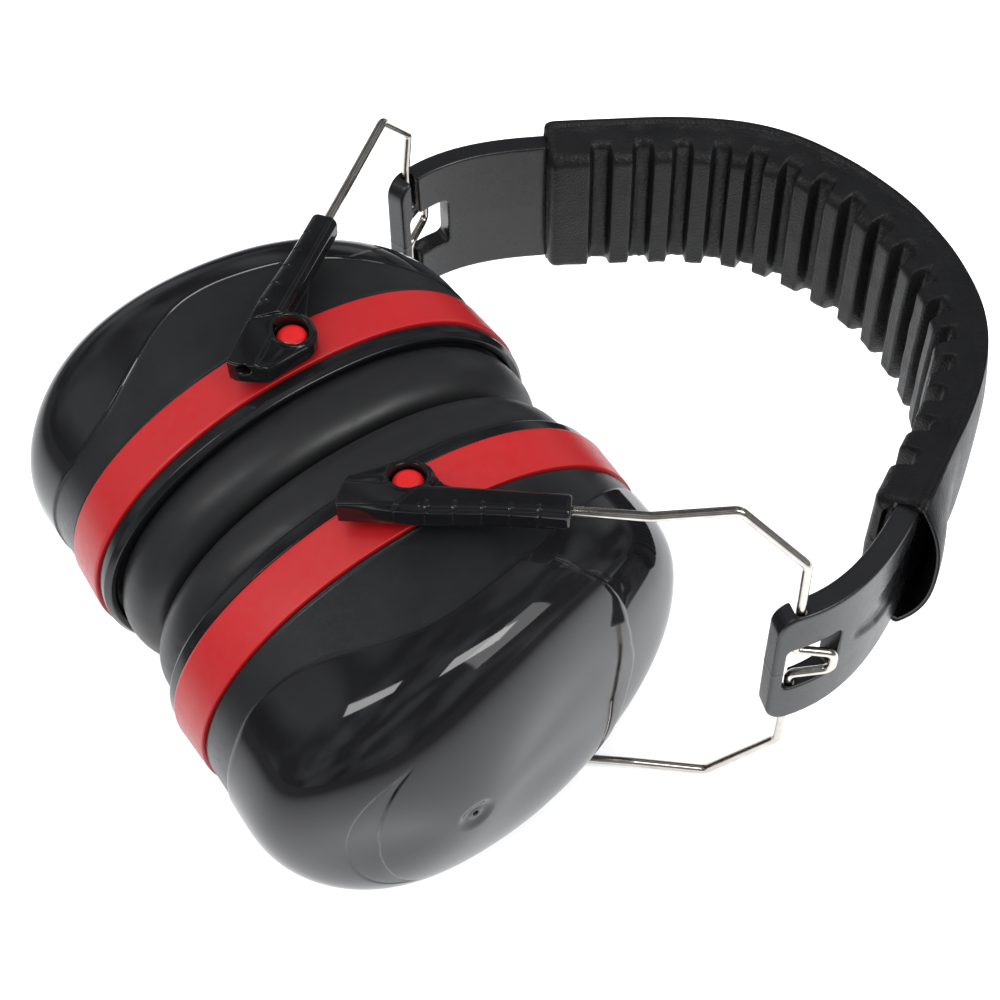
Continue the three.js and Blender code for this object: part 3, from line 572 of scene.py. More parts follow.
def build_dome(name, side):
    crown_rows, middle_rows, lower_rows, collar_rows = \
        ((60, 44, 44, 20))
    half = 0.32                                  # half width of a crease
    band = np.array([-1.0, -0.55, -0.2, 0.2, 0.55, 1.0])[1:, None] * half
    nose = np.r_[0, 0.12, 0.24, 0.36, 0.46, 0.56, 0.66, 0.78, 0.92, 1.1, 1.35,
                 np.arange(1.6, 5.41, 0.2)]

    def between(start, end, count):
        t = np.linspace(0, 1, count)[1:, None]
        return start[None] * (1 - t) + end[None] * t

    u = np.linspace(0, 1, crown_rows)[1:, None]
    gloss = [np.repeat(nose[:, None], COLUMNS, 1),
             nose[-1] + (u * ((CREASE_1 - half)[None] - nose[-1])),
             CREASE_1[None] + band,
             between(CREASE_1 + half, CREASE_2 - half, middle_rows),
             CREASE_2[None] + band,
             between(CREASE_2 + half, BORDER - half, lower_rows),
             BORDER[None] + band]
    gloss_rows = sum(len(rows) for rows in gloss) - 3
    arc = np.concatenate(gloss + [between(BORDER + half, MERIDIAN_LENGTH - 0.4, collar_rows)])
    points = dome_points(arc)
    points[..., 0] = softened_heights(points)

    # outward normal
    along = dome_points(arc + 0.15) - dome_points(np.maximum(arc - 0.15, 0))
    across = np.roll(points, -1, 1) - np.roll(points, 1, 1)
    normal = np.cross(across, along)
    normal /= np.maximum(np.linalg.norm(normal, axis=-1, keepdims=True), 1e-9)
    normal[0] = (1, 0, 0)
    centre = np.array([20.0, -3.0, 0.0])
    normal *= np.sign((normal * (points - centre)).sum(-1, keepdims=True))

    # steps at the creases and the border, fading out over the cap
    past_1, past_2, past_border = (smooth_step(-half, half, arc - line)
                                   for line in (CREASE_1, CREASE_2, BORDER))
    to_border = np.clip((arc - CREASE_1) / np.maximum(BORDER - CREASE_1, 1), 0, 1)
    to_crease_2 = (arc - CREASE_1) / np.maximum(CREASE_2 - CREASE_1, 0.5)
    raised = -FACET_STEP * past_1 * (1 - smooth_step(0.35, 0.95, to_border))
    raised -= CRESCENT_STEP * (past_1 - past_2) * (1 - 0.55 * smooth_step(0, 1, to_crease_2))
    raised -= STEP_DEPTH * past_border
    distance = np.hypot(points[..., 1] - points[0, :, 1].mean(), points[..., 2])
    points = points + normal * raised[..., None]
    # dimple at the crown, a pit in its middle and a low ring round the pit
    points[..., 0] -= 0.80 * (1 - smooth_step(2.0, 4.9, distance)) \
        + 0.9 * (1 - smooth_step(0.30, 0.75, distance)) \
        - 0.12 * np.exp(-((distance - 1.0) / 0.35) ** 2)

    # lower edge, skirt inside the red ring, and the inside of the shell
    skirt = fillet([[NOMINAL_R * .988, 31.0], [NOMINAL_R * .976, 30.8], [NOMINAL_R * .925, 30.8],
                    [NOMINAL_R * .925, 18.8], [NOMINAL_R * .875, 18.8], [NOMINAL_R * .875, 30]],
                   [0, 0.1, 0.2, 0.3, 0.3, 0], 3, closed=False)[4:]
    edge = [[NOMINAL_R * (.988 - 0.0085), 31.35], [NOMINAL_R * (.988 - 0.010), 31.02]]
    radius, height = np.concatenate([edge, skirt]).T
    share = np.linspace(0.955, 0, 26)
    wall = np.interp(share, [0.6, 0.74, 0.84], [0.925, 0.91, 0.886])[:, None]
    inside = dome_points(share[:, None] * MERIDIAN_LENGTH[None], drop=2.6, shrink=wall)
    points = np.concatenate([points, round_cup(radius / NOMINAL_R, height, 1), inside])
    index = np.zeros((len(points) - 1, COLUMNS), np.int32)
    index[gloss_rows:] = 1
    return make_rings(name, points, [GLOSS, COLLAR], side, index=index.ravel(), weld=1e-6)


# (rim fraction, height) from the outer back edge over the face to the inner back edge
CUSHION = np.array([
    [.905, 15.2], [.930, 13], [.944, 8.5], [.92, 4.0], [.86, 1.15], [.775, .45], [.70, .7],
    [.630, 3], [.600, 8], [.605, 15.2]])


def build_cushion(name, side):
    run = arc_length(*CUSHION.T, NOMINAL_R)
    u = np.linspace(0, run[-1], 46)
    radius = np.r_[cubic_spline(run, CUSHION[:, 0])(u) * NOMINAL_R, 30.35, 44.9]
    height = np.r_[cubic_spline(run, CUSHION[:, 1])(u), 15.45, 15.45]
    points = round_cup(radius / NOMINAL_R, height)
    height = points[..., 0]
    # soft swells, and light tucks by the back edge
    swell = value_noise(points * np.array([0.6, 1, 1]), 17.0, 5) * 0.22 \
        + value_noise(points, 7.0, 9) * 0.06
    circle = np.stack([0 * ANGLE, 60 * np.cos(ANGLE), 60 * np.sin(ANGLE)], -1)
    tuck = value_noise(circle, 2.4, 3)[None] * 0.10
    near_back = smooth_step(9.0, 14.5, height)
    keep = (1 - smooth_step(14.9, 15.2, height)) * smooth_step(0.9, 3.5, height)
    core = cup_points(0.77 + 0 * height, np.full_like(height, 8.0))
    normal = points - core
    normal /= np.linalg.norm(normal, axis=-1, keepdims=True)
    points = points + normal * ((swell + tuck * near_back) * keep)[..., None]
    points[..., 0] = np.maximum(points[..., 0], 0.25)
    return make_rings(name, points, [SKIN], side, closed=True)


# (rim fraction, height) of the liner's side that faces the head, rim to middle
LINER = np.array([[.858, 30], [.862, 19.6], [.84, 19.1], [.70, 19.1], [.675, 20.2], [.62, 38],
                  [.40, 50], [0, 53]])


def build_foam_liner(name, side):
    share = np.linspace(0, 0.95, 40)
    outer = dome_points(share[:, None] * MERIDIAN_LENGTH[None], drop=6.0, shrink=0.86)
    run = arc_length(*LINER.T, NOMINAL_R)
    u = np.linspace(0, run[-1], 60)
    inner = round_cup(np.interp(u, run, LINER[:, 0]), np.interp(u, run, LINER[:, 1]), 1)
    points = np.concatenate([outer, inner])
    rough = value_noise(points, 2.2, 31) * 0.25 + value_noise(points, 6.0, 33) * 0.3
    points[1:-1, :, 0] += rough[1:-1] * 0.8
    points[0] = points[0].mean(0)
    points[-1] = points[-1].mean(0)
    return make_rings(name, points, [FOAM], side, weld=1e-6)


# ------------------------------------------------------ pivot pins and slider arms
PIN_X = 23.9
PIN_PROFILE = np.array([               # (radius, z)
    [0, 46.15], [0.6, 46.13], [1.2, 46.07], [1.8, 45.96], [2.35, 45.80], [2.8, 45.58],
    [3.1, 45.33], [3.3, 45.02], [3.4, 44.6], [3.4, 43.7], [2.3, 43.7], [2.3, 35.0], [0, 35.0]])


def build_pin(name, side, face):
    angle = np.arange(48) * 2 * np.pi / 48
    radius, z = PIN_PROFILE[:, :1], PIN_PROFILE[:, 1:]
    # shallow dish in the middle of the head
    z = z - np.where(z > 44.5, 0.22 * (1 - smooth_step(0.9, 2.1, radius)), 0)
    points = np.stack([radius * np.cos(angle) + PIN_X, radius * np.sin(angle),
                       np.repeat(z, 48, 1)], -1)
    return make_rings(name, points, [RED_PIN], side, face, weld=1e-6)


# Arm frame: u along the wire leg from the pin, q square to it (away from the dome), w = z.
LEG = np.array([0.621, 0.784]) / np.hypot(0.621, 0.784)       # direction of u in x and y
LEG_OFFSET, LEG_Z = 5.35, 46.2                                # leg axis at q = -LEG_OFFSET
ARM_PLAN = [                           # (u, q) outline of the tail and eye
    (-14.9, -2.3), (-3.9, 4.2), (-2.6, 5.05), (-1.0, 5.5), (0.8, 5.5), (2.6, 4.9), (4.2, 3.6),
    (5.2, 1.9), (5.5, 0.2), (5.2, -1.4), (4.4, -3.6), (3.2, -8.9), (-13.0, -9.1)]
WEB_PLAN = [(0, 3.6), (4.4, 3.3), (7.2, 0.4), (16.5, -2.4), (16.5, -6.0), (0, -6.0)]
NOTCHES = (4.8, 10.3, 15.9, 21.4, 27.0)                       # u of the finger notches


def arm_field(u, q, w):
    # tail and eye: one wedge sloping from the grip down to the rim of the eye,
    # with a shallow hollow from the eye towards the tail
    hollow = np.exp(-(((q - 1.1 - 0.16 * u) / 2.2) ** 2 + ((u + 6.6) / 4.6) ** 2))
    top = (w - 47.05 + 0.22 * q) / 1.03 + 0.62 * hollow
    wedge = smooth_max(polygon(u, q, ARM_PLAN), top, 0.75)
    wedge = smooth_max(wedge, 42.25 - w, 0.5)
    # thin web between the eye and the grip
    web = smooth_max(polygon(u, q, WEB_PLAN), np.abs(w - 43.9) - 1.0, 0.35)
    # grip: bowed, thickest behind the step, slimmer at the wire
    centre_q = -5.62 - 0.62 * np.exp(-((u - 2.0) / 12.0) ** 2) + 0.006 * np.maximum(u, 0)
    half_q = 3.05 + 0.50 * np.exp(-((u - 3.0) / 13.0) ** 2)
    centre_w = 45.75 + 0.05 * np.clip(u / 10, -1, 3)
    half_w = 3.12 + 0.12 * np.exp(-((u - 6.0) / 12.0) ** 2)
    grip = rounded_box(q - centre_q, w - centre_w, half_q, half_w, 1.95)
    grip = smooth_max(grip, np.abs(u - 10.0) - 23.2, 0.9)
    # behind the oblique step the grip is flush with the wedge
    step = (u - 3.0) * 0.80 - (q + 3.0) * 0.60
    flush = (w - 48.35 + 0.10 * (q + 6.0)) - np.clip(step, 0, 9) * 3.0
    grip = smooth_max(grip, flush, 0.25)
    body = smooth_min(wedge, grip, 0.55)
    body = smooth_min(body, web, 0.5)
    # oblique tail
    tail = (-12.9 - u) * math.cos(0.24) + (q + 4.4) * math.sin(0.24)
    body = smooth_max(body, tail, 0.55)
    tail_top = (w - 48.25) * math.cos(0.10) - (u + 10.2) * math.sin(0.10)
    body = smooth_max(body, tail_top, 0.5)
    # fine line along the step
    line = smooth_max(np.abs(step) - 0.12, 41.0 - w, 0.1)
    body = smooth_max(body, -smooth_max(line, -(body + 0.22), 0.1), 0.14)
    # finger notches on the dome side
    for notch_u in NOTCHES:
        band = np.abs(u - notch_u) - 0.20
        skin = -rounded_box(q - centre_q, w - centre_w, half_q - 0.26, half_w - 0.26, 1.7)
        cut = smooth_max(smooth_max(band, skin, 0.12), (q - centre_q) + 0.9, 0.3)
        body = smooth_max(body, -cut, 0.22)
    # eye: raised rim, recess for the pin head, bore for the pin
    from_pin = np.hypot(u, q)
    rim = smooth_max(np.abs(from_pin - 4.35) - 0.42, w - (47.32 - 0.22 * q), 0.25)
    body = smooth_min(body, smooth_max(rim, 43.0 - w, 0.2), 0.3)
    body = smooth_max(body, -smooth_max(from_pin - 3.78, 43.4 - w, 0.1), 0.30)
    body = smooth_max(body, 2.6 - from_pin, 0.1)
    # bore for the wire leg, open at both ends
    return smooth_max(body, 1.42 - np.hypot(q + LEG_OFFSET, w - LEG_Z), 0.2)


def arm_mesh():
    """Layout points and faces of the front right arm."""
    pitch = 0.27
    verts, faces = surface_net(arm_field, np.arange(-16, 35, pitch),
                               np.arange(-10.2, 7, pitch), np.arange(41.4, 50.2, pitch))
    u, q, w = verts.T
    return np.stack([PIN_X + LEG[0] * u - LEG[1] * q, LEG[1] * u + LEG[0] * q, w], -1), faces


ARM_POINTS, ARM_FACES = arm_mesh()


def build_arm(name, side, face):
    return make(name, ARM_POINTS * np.array([side, 1, face]), [ARM_FACES], [GLOSS_ARM])


# --------------------------------------------------------------------- wires
WIRE_R = 1.05
YOKE_X, YOKE_Y = 78.6, 60.2            # where the wire crosses inside the strap
HAIRPIN = np.array([0.53, 0.85]) / np.hypot(0.53, 0.85)       # its direction in x and y
HAIRPIN_LENGTH = 8.8


def bent_path(corners):
    """Path through (point, bend radius) corners, bends in steps of at most 0.1 radian."""
    path = [np.array(corners[0][0], float)]
    for i in range(1, len(corners) - 1):
        corner = np.array(corners[i][0], float)
        radius = corners[i][1]
        back = np.array(corners[i - 1][0], float) - corner
        ahead = np.array(corners[i + 1][0], float) - corner
        back /= np.linalg.norm(back)
        ahead /= np.linalg.norm(ahead)
        angle = math.acos(np.clip(back @ ahead, -1, 1))
        middle = (back + ahead) / np.linalg.norm(back + ahead)
        centre = corner + middle * radius / math.sin(angle / 2)
        start = corner + back * (radius / math.tan(angle / 2)) - centre
        end = corner + ahead * (radius / math.tan(angle / 2)) - centre
        axis = np.cross(start, end)
        axis /= np.linalg.norm(axis)
        turn = math.pi - angle
        steps = max(3, math.ceil(turn / 0.10))
        for j in range(steps + 1):
            a = turn * j / steps
            path.append(centre + start * math.cos(a) + np.cross(axis, start) * math.sin(a)
                        + axis * (axis @ start) * (1 - math.cos(a)))
    path.append(np.array(corners[-1][0], float))
    return np.array(path)


def tube(path, radius, sides=20, chamfer=0.25):
    """Rings of a swept round bar with chamfered ends."""
    segments = np.diff(path, axis=0)
    segments /= np.linalg.norm(segments, axis=1, keepdims=True)
    tangents = np.concatenate([segments[:1], segments[1:] + segments[:-1], segments[-1:]])
    tangents /= np.linalg.norm(tangents, axis=1, keepdims=True)
    normal = np.cross(tangents[0], [0.3, 0.5, 0.81])
    normal /= np.linalg.norm(normal)
    frames = []
    for tangent in tangents:
        normal = normal - tangent * (normal @ tangent)
        normal /= np.linalg.norm(normal)
        frames.append((normal, np.cross(tangent, normal)))
    angle = (np.arange(sides) * 2 * np.pi / sides)[:, None]
    last = len(path) - 1
    # (station, shift along the bar, radius)
    rings = [(0, 0, 1e-4), (0, 0, radius - chamfer), (0, chamfer, radius)]
    rings += [(k, 0, radius) for k in range(1, last)]
    rings += [(last, -chamfer, radius), (last, 0, radius - chamfer), (last, 0, 1e-4)]
    return np.array([
        path[k] + tangents[k] * shift
        + r * (np.cos(angle) * frames[k][0] + np.sin(angle) * frames[k][1])
        for k, shift, r in rings])


def build_wire(name, side):
    def leg(u):
        return (PIN_X + LEG[0] * u + LEG[1] * LEG_OFFSET, LEG[1] * u - LEG[0] * LEG_OFFSET,
                LEG_Z)
    hairpin_end = (YOKE_X + HAIRPIN[0] * HAIRPIN_LENGTH, YOKE_Y + HAIRPIN[1] * HAIRPIN_LENGTH,
                   2.9)
    # (corner, bend radius) on the front half
    half = [(leg(4.0), 0), (leg(49.0), 8.0), ((68.3, 49.2, 48.7), 2.4),
            ((77.7, 60.9, 32.6), 3.0), ((YOKE_X, YOKE_Y, 21.5), 8.0),
            ((YOKE_X, YOKE_Y, 4.6), 1.6), (hairpin_end, 2.4)]
    rear = [((x, y, -z), radius) for (x, y, z), radius in reversed(half)]
    return make_rings(name, tube(bent_path(half + rear), WIRE_R), [STEEL], side, weld=4e-7)


# ------------------------------------------------------------------ headband
# Outer face of the strap, (x, y) from the crown to the right end
OUTER = [
    [0, 154.1], [14, 152.7], [21.5, 151], [29.3, 148.4], [35, 145.8], [40.5, 142.3],
    [45, 138.5], [48.9, 134.3], [52.8, 129.5], [56.3, 124.6], [59.8, 119], [63.1, 113.2],
    [66.4, 107.5], [72, 97.6], [77.2, 87], [80.4, 77.4], [81.6, 68.6], [81.0, 61], [79.2, 54.6]]
STRAP_HALF = 18.8                      # half width in z
STRAP_END_T, STRAP_MIDDLE_T = 5.2, 3.0     # thickness at the ends and under the pad
PAD_S = 98.5                           # half length of the pad along the arch


def catmull(points, per_span=60):
    points = np.asarray(points, float)
    last = len(points) - 1
    out = []
    t = np.linspace(0, 1, per_span, endpoint=False)[:, None]
    for i in range(last):
        before, start, end = points[max(i - 1, 0)], points[i], points[i + 1]
        after = points[min(i + 2, last)]
        v0, v1 = (end - before) * 0.5, (after - start) * 0.5
        out.append((2 * start - 2 * end + v0 + v1) * t ** 3
                   + (-3 * start + 3 * end - 2 * v0 - v1) * t ** 2 + v0 * t + start)
    return np.concatenate(out + [points[-1:]])


def blur_open(values, sigma):
    """Gaussian blur of an open sequence, carried on by point reflection at its ends."""
    reach = int(4 * sigma)
    weights = np.exp(-0.5 * (np.arange(-reach, reach + 1) / sigma) ** 2)
    weights /= weights.sum()
    before = 2 * values[0] - values[reach:0:-1]
    after = 2 * values[-1] - values[-2:-reach - 2:-1]
    return np.convolve(np.r_[before, values, after], weights, "valid")


ARCH = catmull([[-x, y] for x, y in OUTER[1:]][::-1] + OUTER)
ARCH_RUN = arc_length(*ARCH.T)
ARC = ARCH_RUN[-1]
HALF_ARC = ARC / 2
ARC_S = np.linspace(0, ARC, 1441)      # stations from the left end
ARC_X, ARC_Y = (blur_open(np.interp(ARC_S, ARCH_RUN, column), 12) for column in ARCH.T)
TANGENT = np.gradient(ARC_X), np.gradient(ARC_Y)
TANGENT_X, TANGENT_Y = (blur_open(part / np.hypot(*TANGENT), 8) for part in TANGENT)


def strap_point(s, d, z):
    """Layout point s along the band from its crown, d below its outer face, z across."""
    run = np.clip(np.asarray(s, float) + HALF_ARC, -3, ARC + 3)
    on_arc = np.clip(run, 0, ARC)
    x, y, tx, ty = (np.interp(on_arc, ARC_S, table)
                    for table in (ARC_X, ARC_Y, TANGENT_X, TANGENT_Y))
    x, y = x + tx * (run - on_arc), y + ty * (run - on_arc)
    return np.stack([x + ty * d, y - tx * d, z + 0 * x], -1)


def yoke_in_strap():
    """The wire yoke as (s, d) of the strap."""
    i = np.argmin(np.hypot(ARC_X - YOKE_X, ARC_Y - YOKE_Y))
    dx, dy = YOKE_X - ARC_X[i], YOKE_Y - ARC_Y[i]
    return (ARC_S[i] - HALF_ARC + dx * TANGENT_X[i] + dy * TANGENT_Y[i],
            dx * TANGENT_Y[i] - dy * TANGENT_X[i])


YOKE_S, YOKE_D = yoke_in_strap()


def strap_field(s, d, z):
    a = np.abs(s)
    end = HALF_ARC - a
    thickness = STRAP_MIDDLE_T \
        + (STRAP_END_T - STRAP_MIDDLE_T) * smooth_step(PAD_S - 14, PAD_S + 2, a)
    plan = rounded_box(s, z, HALF_ARC, STRAP_HALF, 5.0)
    # gently ridged inner face
    thickness = thickness + 0.30 * (1 - np.abs(z) / STRAP_HALF) * smooth_step(95, 104, a)
    # tapered channel in the outer face: half width against distance from the end
    half_width = np.interp(end, [18.5, 22.0, 31.0, 56.0, 62.0], [-1.4, 1.8, 6.0, 11.4, 11.6])
    channel = 1.05 * (1 - smooth_step(-1.5, 0.6, np.abs(z) - half_width)) \
        * smooth_step(18.0, 25.0, end) * (1 - smooth_step(57.0, 61.0, end))
    middle, half = (channel + thickness) / 2, (thickness - channel) / 2
    edge_r = 0.75
    body = quadrant(plan + edge_r, np.abs(d - middle) - half + edge_r) - edge_r
    # window
    window = rounded_box(a - (YOKE_S - 4.30), z, 6.90, 7.3, 1.8)
    body = smooth_max(body, -window, 0.5)
    # seat of the wire, open on the inner face
    seat = np.where(d < YOKE_D, np.hypot(a - YOKE_S, d - YOKE_D), np.abs(a - YOKE_S)) - 1.4
    body = smooth_max(body, -seat, 0.35)
    # fine raised line along the strap, from the yoke to the end
    line = np.exp(-((z + 1.0) / 0.28) ** 2) * smooth_step(YOKE_S + 1.0, YOKE_S + 2.2, a)
    return body - 0.09 * line


def build_strap(name):
    fine, coarse = ((0.34, 2.2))
    ends = np.arange(HALF_ARC + 1.2, 93.0, -fine)[::-1]
    half = np.r_[np.arange(0, 92.0, coarse), ends]
    s_values = np.r_[-half[::-1][:-1], half]
    d_values = np.r_[np.arange(-0.7, 1.5, fine * 0.9), np.arange(1.5, 6.6, fine * 0.9)]
    z_values = np.arange(-19.6, 19.61, fine * 1.1)
    verts, faces = surface_net(strap_field, s_values, d_values, z_values)
    return make(name, strap_point(*verts.T), [faces], [STRAP])


# ----------------------------------------------------------------- head pad
CREST = 10.5                           # depth of the ribs below the strap's outer face
PAD_BACK = 5.7                         # depth of the ribbed cover's flat inner wall
GROOVES, GROOVE_PITCH = 17, 10.6
GROOVE_S = (np.arange(GROOVES) - (GROOVES - 1) / 2) * GROOVE_PITCH
PAD_ROUND = 2.6                        # length of the pad's rounded ends
# Stations across a groove, closer together at its walls
GROOVE_STATIONS = [-3.3, -3.0, -2.75, -2.5, -2.3, -2.1, -1.85, -1.4, -0.7, 0,
 0.7, 1.4, 1.85, 2.1, 2.3, 2.5, 2.75, 3.0, 3.3]
RIB_STATIONS = [-5.0, -4.4, -3.8, 3.8, 4.4]
# Half outlines from the seam to the middle (z, depth), and their corner radii
RIB = [[22.35, -0.75], [22.45, 0.15], [21.75, 0.75], [21.1, 2.2], [19.0, 8.7], [17.3, CREST],
       [0, CREST + 0.25]]
RIB_RADII = [0, 0.35, 0.5, 1.5, 1.6, 2.0, 0]
FLOOR = [[22.35, -0.75], [22.45, 0.15], [21.75, 0.75], [21.1, 2.2], [20.1, 5.0], [18.8, 6.15],
         [0, 6.35]]
FLOOR_RADII = [0, 0.35, 0.5, 1.5, 1.5, 1.6, 0]


def end_rounding(s):
    """0 along the pad, rising to 1 on a quarter circle at its ends."""
    e = np.clip((np.abs(s) - (PAD_S - PAD_ROUND)) / PAD_ROUND, 0, 1)
    return 1 - np.sqrt(np.clip(1 - e * e, 0, 1))


def pad_stations():
    stations = [centre + x for centre in GROOVE_S for x in GROOVE_STATIONS + RIB_STATIONS]
    stations += list(np.linspace(GROOVE_S[-1] + 5, PAD_S - 3.2, 8))
    stations += list(np.linspace(-GROOVE_S[-1] - 5, -PAD_S + 3.2, 8))
    quarter = np.linspace(0, np.pi / 2, 9)[1:]
    rounded = PAD_S - PAD_ROUND + PAD_ROUND * np.sin(quarter)
    stations = np.unique(np.round(stations + list(rounded) + list(-rounded), 4))
    keep = [stations[0]]
    for station in stations[1:]:
        if station - keep[-1] > 0.12:
            keep.append(station)
    keep[0], keep[-1] = -PAD_S, PAD_S
    return np.array(keep)


def pad_outline(corners, radii):
    """Seam to seam outline, with 16 even stations over the first 4.2 mm."""
    z, depth = fillet(corners, radii, 6, closed=False).T
    run = arc_length(z, depth)
    count = 48
    u = np.r_[np.linspace(0, 4.2, 16), np.linspace(4.2, run[-1], count - 15)[1:]]
    half = np.stack([np.interp(u, run, z), np.interp(u, run, depth)], -1)
    return np.concatenate([half, (half * np.array([-1, 1]))[::-1][1:]])


def build_ribbed(name):
    s = pad_stations()
    from_groove = np.min(np.abs(s[:, None] - GROOVE_S[None]), 1)
    # U-shaped groove: nearly plumb walls, round floor, soft rib edges
    sunk = np.where(from_groove < 1.85, 1 - 0.10 * (from_groove / 1.85) ** 2,
                    0.90 * (1 - smooth_step(1.8, 3.1, from_groove)))[:, None, None]
    rib, floor_line = pad_outline(RIB, RIB_RADII), pad_outline(FLOOR, FLOOR_RADII)
    z, d = np.moveaxis(rib[None] * (1 - sunk) + floor_line[None] * sunk, -1, 0)
    outline_size = z.shape[1]
    along = np.repeat(s[:, None], outline_size, 1)
    # rounded ends of the foam
    rounding = end_rounding(along)
    d = d - np.maximum(d - 2.4, 0) * rounding * 0.32
    z = z - np.sign(z) * rounding * (0.9 * smooth_step(1.0, 3.0, d) + 1.5 * (np.abs(z) > 5))
    # puckers where each groove runs out on the shoulder, broad waves on the slope
    at = np.stack([along, d, z], -1)
    groove = (1 - smooth_step(1.5, 4.2, from_groove))[:, None]
    shoulder = np.exp(-((np.abs(z) - 18.9) / 1.5) ** 2) * smooth_step(3.2, 5.5, d)
    wrinkle = value_noise(at * np.array([1.0, 0.6, 0.6]), 1.15, 11) \
        + 0.6 * value_noise(at, 0.7, 12)
    pucker = wrinkle * shoulder * (0.35 + 0.65 * groove)
    wave = value_noise(at * np.array([1.0, 0.35, 0.35]), 4.2, 13) \
        * (smooth_step(0.9, 3.0, d) * smooth_step(16.0, 18.5, np.abs(z)))
    crest = 1 - smooth_step(15.0, 18.0, np.abs(z))
    d = d + 0.23 * pucker + 0.20 * wave + 0.10 * value_noise(at, 6.0, 14) * crest
    z = z + np.sign(z) * (0.13 * pucker + 0.24 * wave)
    # flat inner wall against the strap
    inner = fillet([[-19.25, -0.75], [-19.25, PAD_BACK], [19.25, PAD_BACK], [19.25, -0.75]],
                   [0, 0.3, 0.3, 0], 2, closed=False)
    inner = np.repeat(inner[None], len(s), 0)
    inner_s = np.repeat(s[:, None], inner.shape[1], 1)
    points = np.concatenate([strap_point(along, d, z),
                             strap_point(inner_s, inner[..., 1], inner[..., 0])], 1)
    ring_size = points.shape[1]
    # end faces: the outline bridged to the inner wall
    caps = []
    match = np.round(np.linspace(inner.shape[1] - 1, 0, outline_size)).astype(int)
    for row in (0, len(s) - 1):
        base = row * ring_size
        wall = base + outline_size + match
        for k in range(outline_size - 1):
            face = [base + k, base + k + 1, wall[k + 1]]
            if wall[k + 1] != wall[k]:
                face.append(wall[k])
            caps.append(face if row else face[::-1])
    quads = np.array([face for face in caps if len(face) == 4]).reshape(-1, 4)
    triangles = np.array([face for face in caps if len(face) == 3]).reshape(-1, 3)
    return make(name, points.reshape(-1, 3),
                [ring_faces(len(s), ring_size), quads, triangles], [LEATHER])


def build_cover(name):
    """Smooth outer sheet of the sleeve: crowned over the strap, its two ends standing open."""
    rows, columns = ((150, 40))
    s = np.linspace(-1, 1, rows)
    s = np.sign(s) * (1 - (1 - np.abs(s)) ** 1.25) * PAD_S
    s, across = np.meshgrid(s, np.linspace(-1, 1, columns), indexing="ij")
    flare = np.where(s > 0, 4.6, 2.6) * smooth_step(PAD_S - 24, PAD_S, np.abs(s)) ** 1.5
    crown = 1.8 + flare
    d = -0.45 - crown * (1 - np.abs(across) ** 2.4)
    z = across * (22.1 - 1.5 * end_rounding(s))
    at = np.stack([s, np.zeros_like(s), z], -1)
    lump = value_noise(at * np.array([1, 1, 0.7]), 15.0, 21) * 0.30 \
        + value_noise(at * np.array([1, 1, 0.5]), 6.0, 22) * 0.09
    d = d + lump * (1 - across ** 4)
    outer = strap_point(s, d - 0.55, z * 1.004)
    lining = strap_point(s, d + 0.25, z * 0.985)
    points = np.concatenate([outer, lining[:, ::-1]], 1)
    ring_size = points.shape[1]
    ends = []
    for row in (0, rows - 1):
        base = row * ring_size
        for j in range(columns - 1):
            face = [base + j, base + j + 1, base + ring_size - 2 - j, base + ring_size - 1 - j]
            ends.append(face if row else face[::-1])
    index = np.zeros((rows - 1, ring_size), np.int32)
    index[:, columns:-1] = 1
    return make(name, points.reshape(-1, 3), [ring_faces(rows, ring_size), np.array(ends)],
                [LEATHER_OUT, LINING], np.r_[index.ravel(), np.zeros(len(ends), np.int32)])


def build_foam_core(name):
    s = np.linspace(-80, 80, 120)
    section = fillet([[-17, 3.35], [17, 3.35], [17, 5.35], [-17, 5.35]], [0.5] * 4, 3)
    size = len(section)
    s = np.repeat(s[:, None], size, 1)
    z, d = (np.repeat(column[None], len(s), 0) for column in section.T)
    points = strap_point(s, d, z + 0.12 * value_noise(np.stack([s, d, z], -1), 3.0, 41))
    verts = np.concatenate([points.reshape(-1, 3), points[0].mean(0)[None],
                            points[-1].mean(0)[None]])
    left, right = len(verts) - 2, len(verts) - 1
    base = (len(s) - 1) * size
    caps = [[left, (j + 1) % size, j] for j in range(size)]
    caps += [[right, base + j, base + (j + 1) % size] for j in range(size)]
    return make(name, verts, [ring_faces(len(s), size), np.array(caps)], [FOAM])


# ------------------------------------------------------------------ assembly
def put(obj, body, part):
    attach(obj, body)
    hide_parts(part)


# (radius at NOMINAL_R, height) sections and their corner radii
RED_RING = [[46.7, 18.6], [49.9, 18.6], [50.02, 19.3], [49.62, 30.5], [46.7, 30.5]]
RED_RING_RADII = [0.2, 0.3, 0.4, 0.35, 0.2]
PLATE = [[27.5, 15.6], [46.8, 15.6], [47.3, 14.5], [48.5, 14.3], [49.4, 15.6], [49.3, 18.2],
         [27.5, 18.3]]
PLATE_RADII = [0.3, 0.5, 0.35, 0.5, 0.7, 0.3, 0.3]

put(build_strap("strap"), "headband", "headband_strap")
put(build_ribbed("pad_ribbed"), "headband", "pad_ribbed_cover")
put(build_cover("pad_sheet"), "headband", "pad_outer_cover")
put(build_foam_core("pad_foam"), "headband", "pad_foam_core")

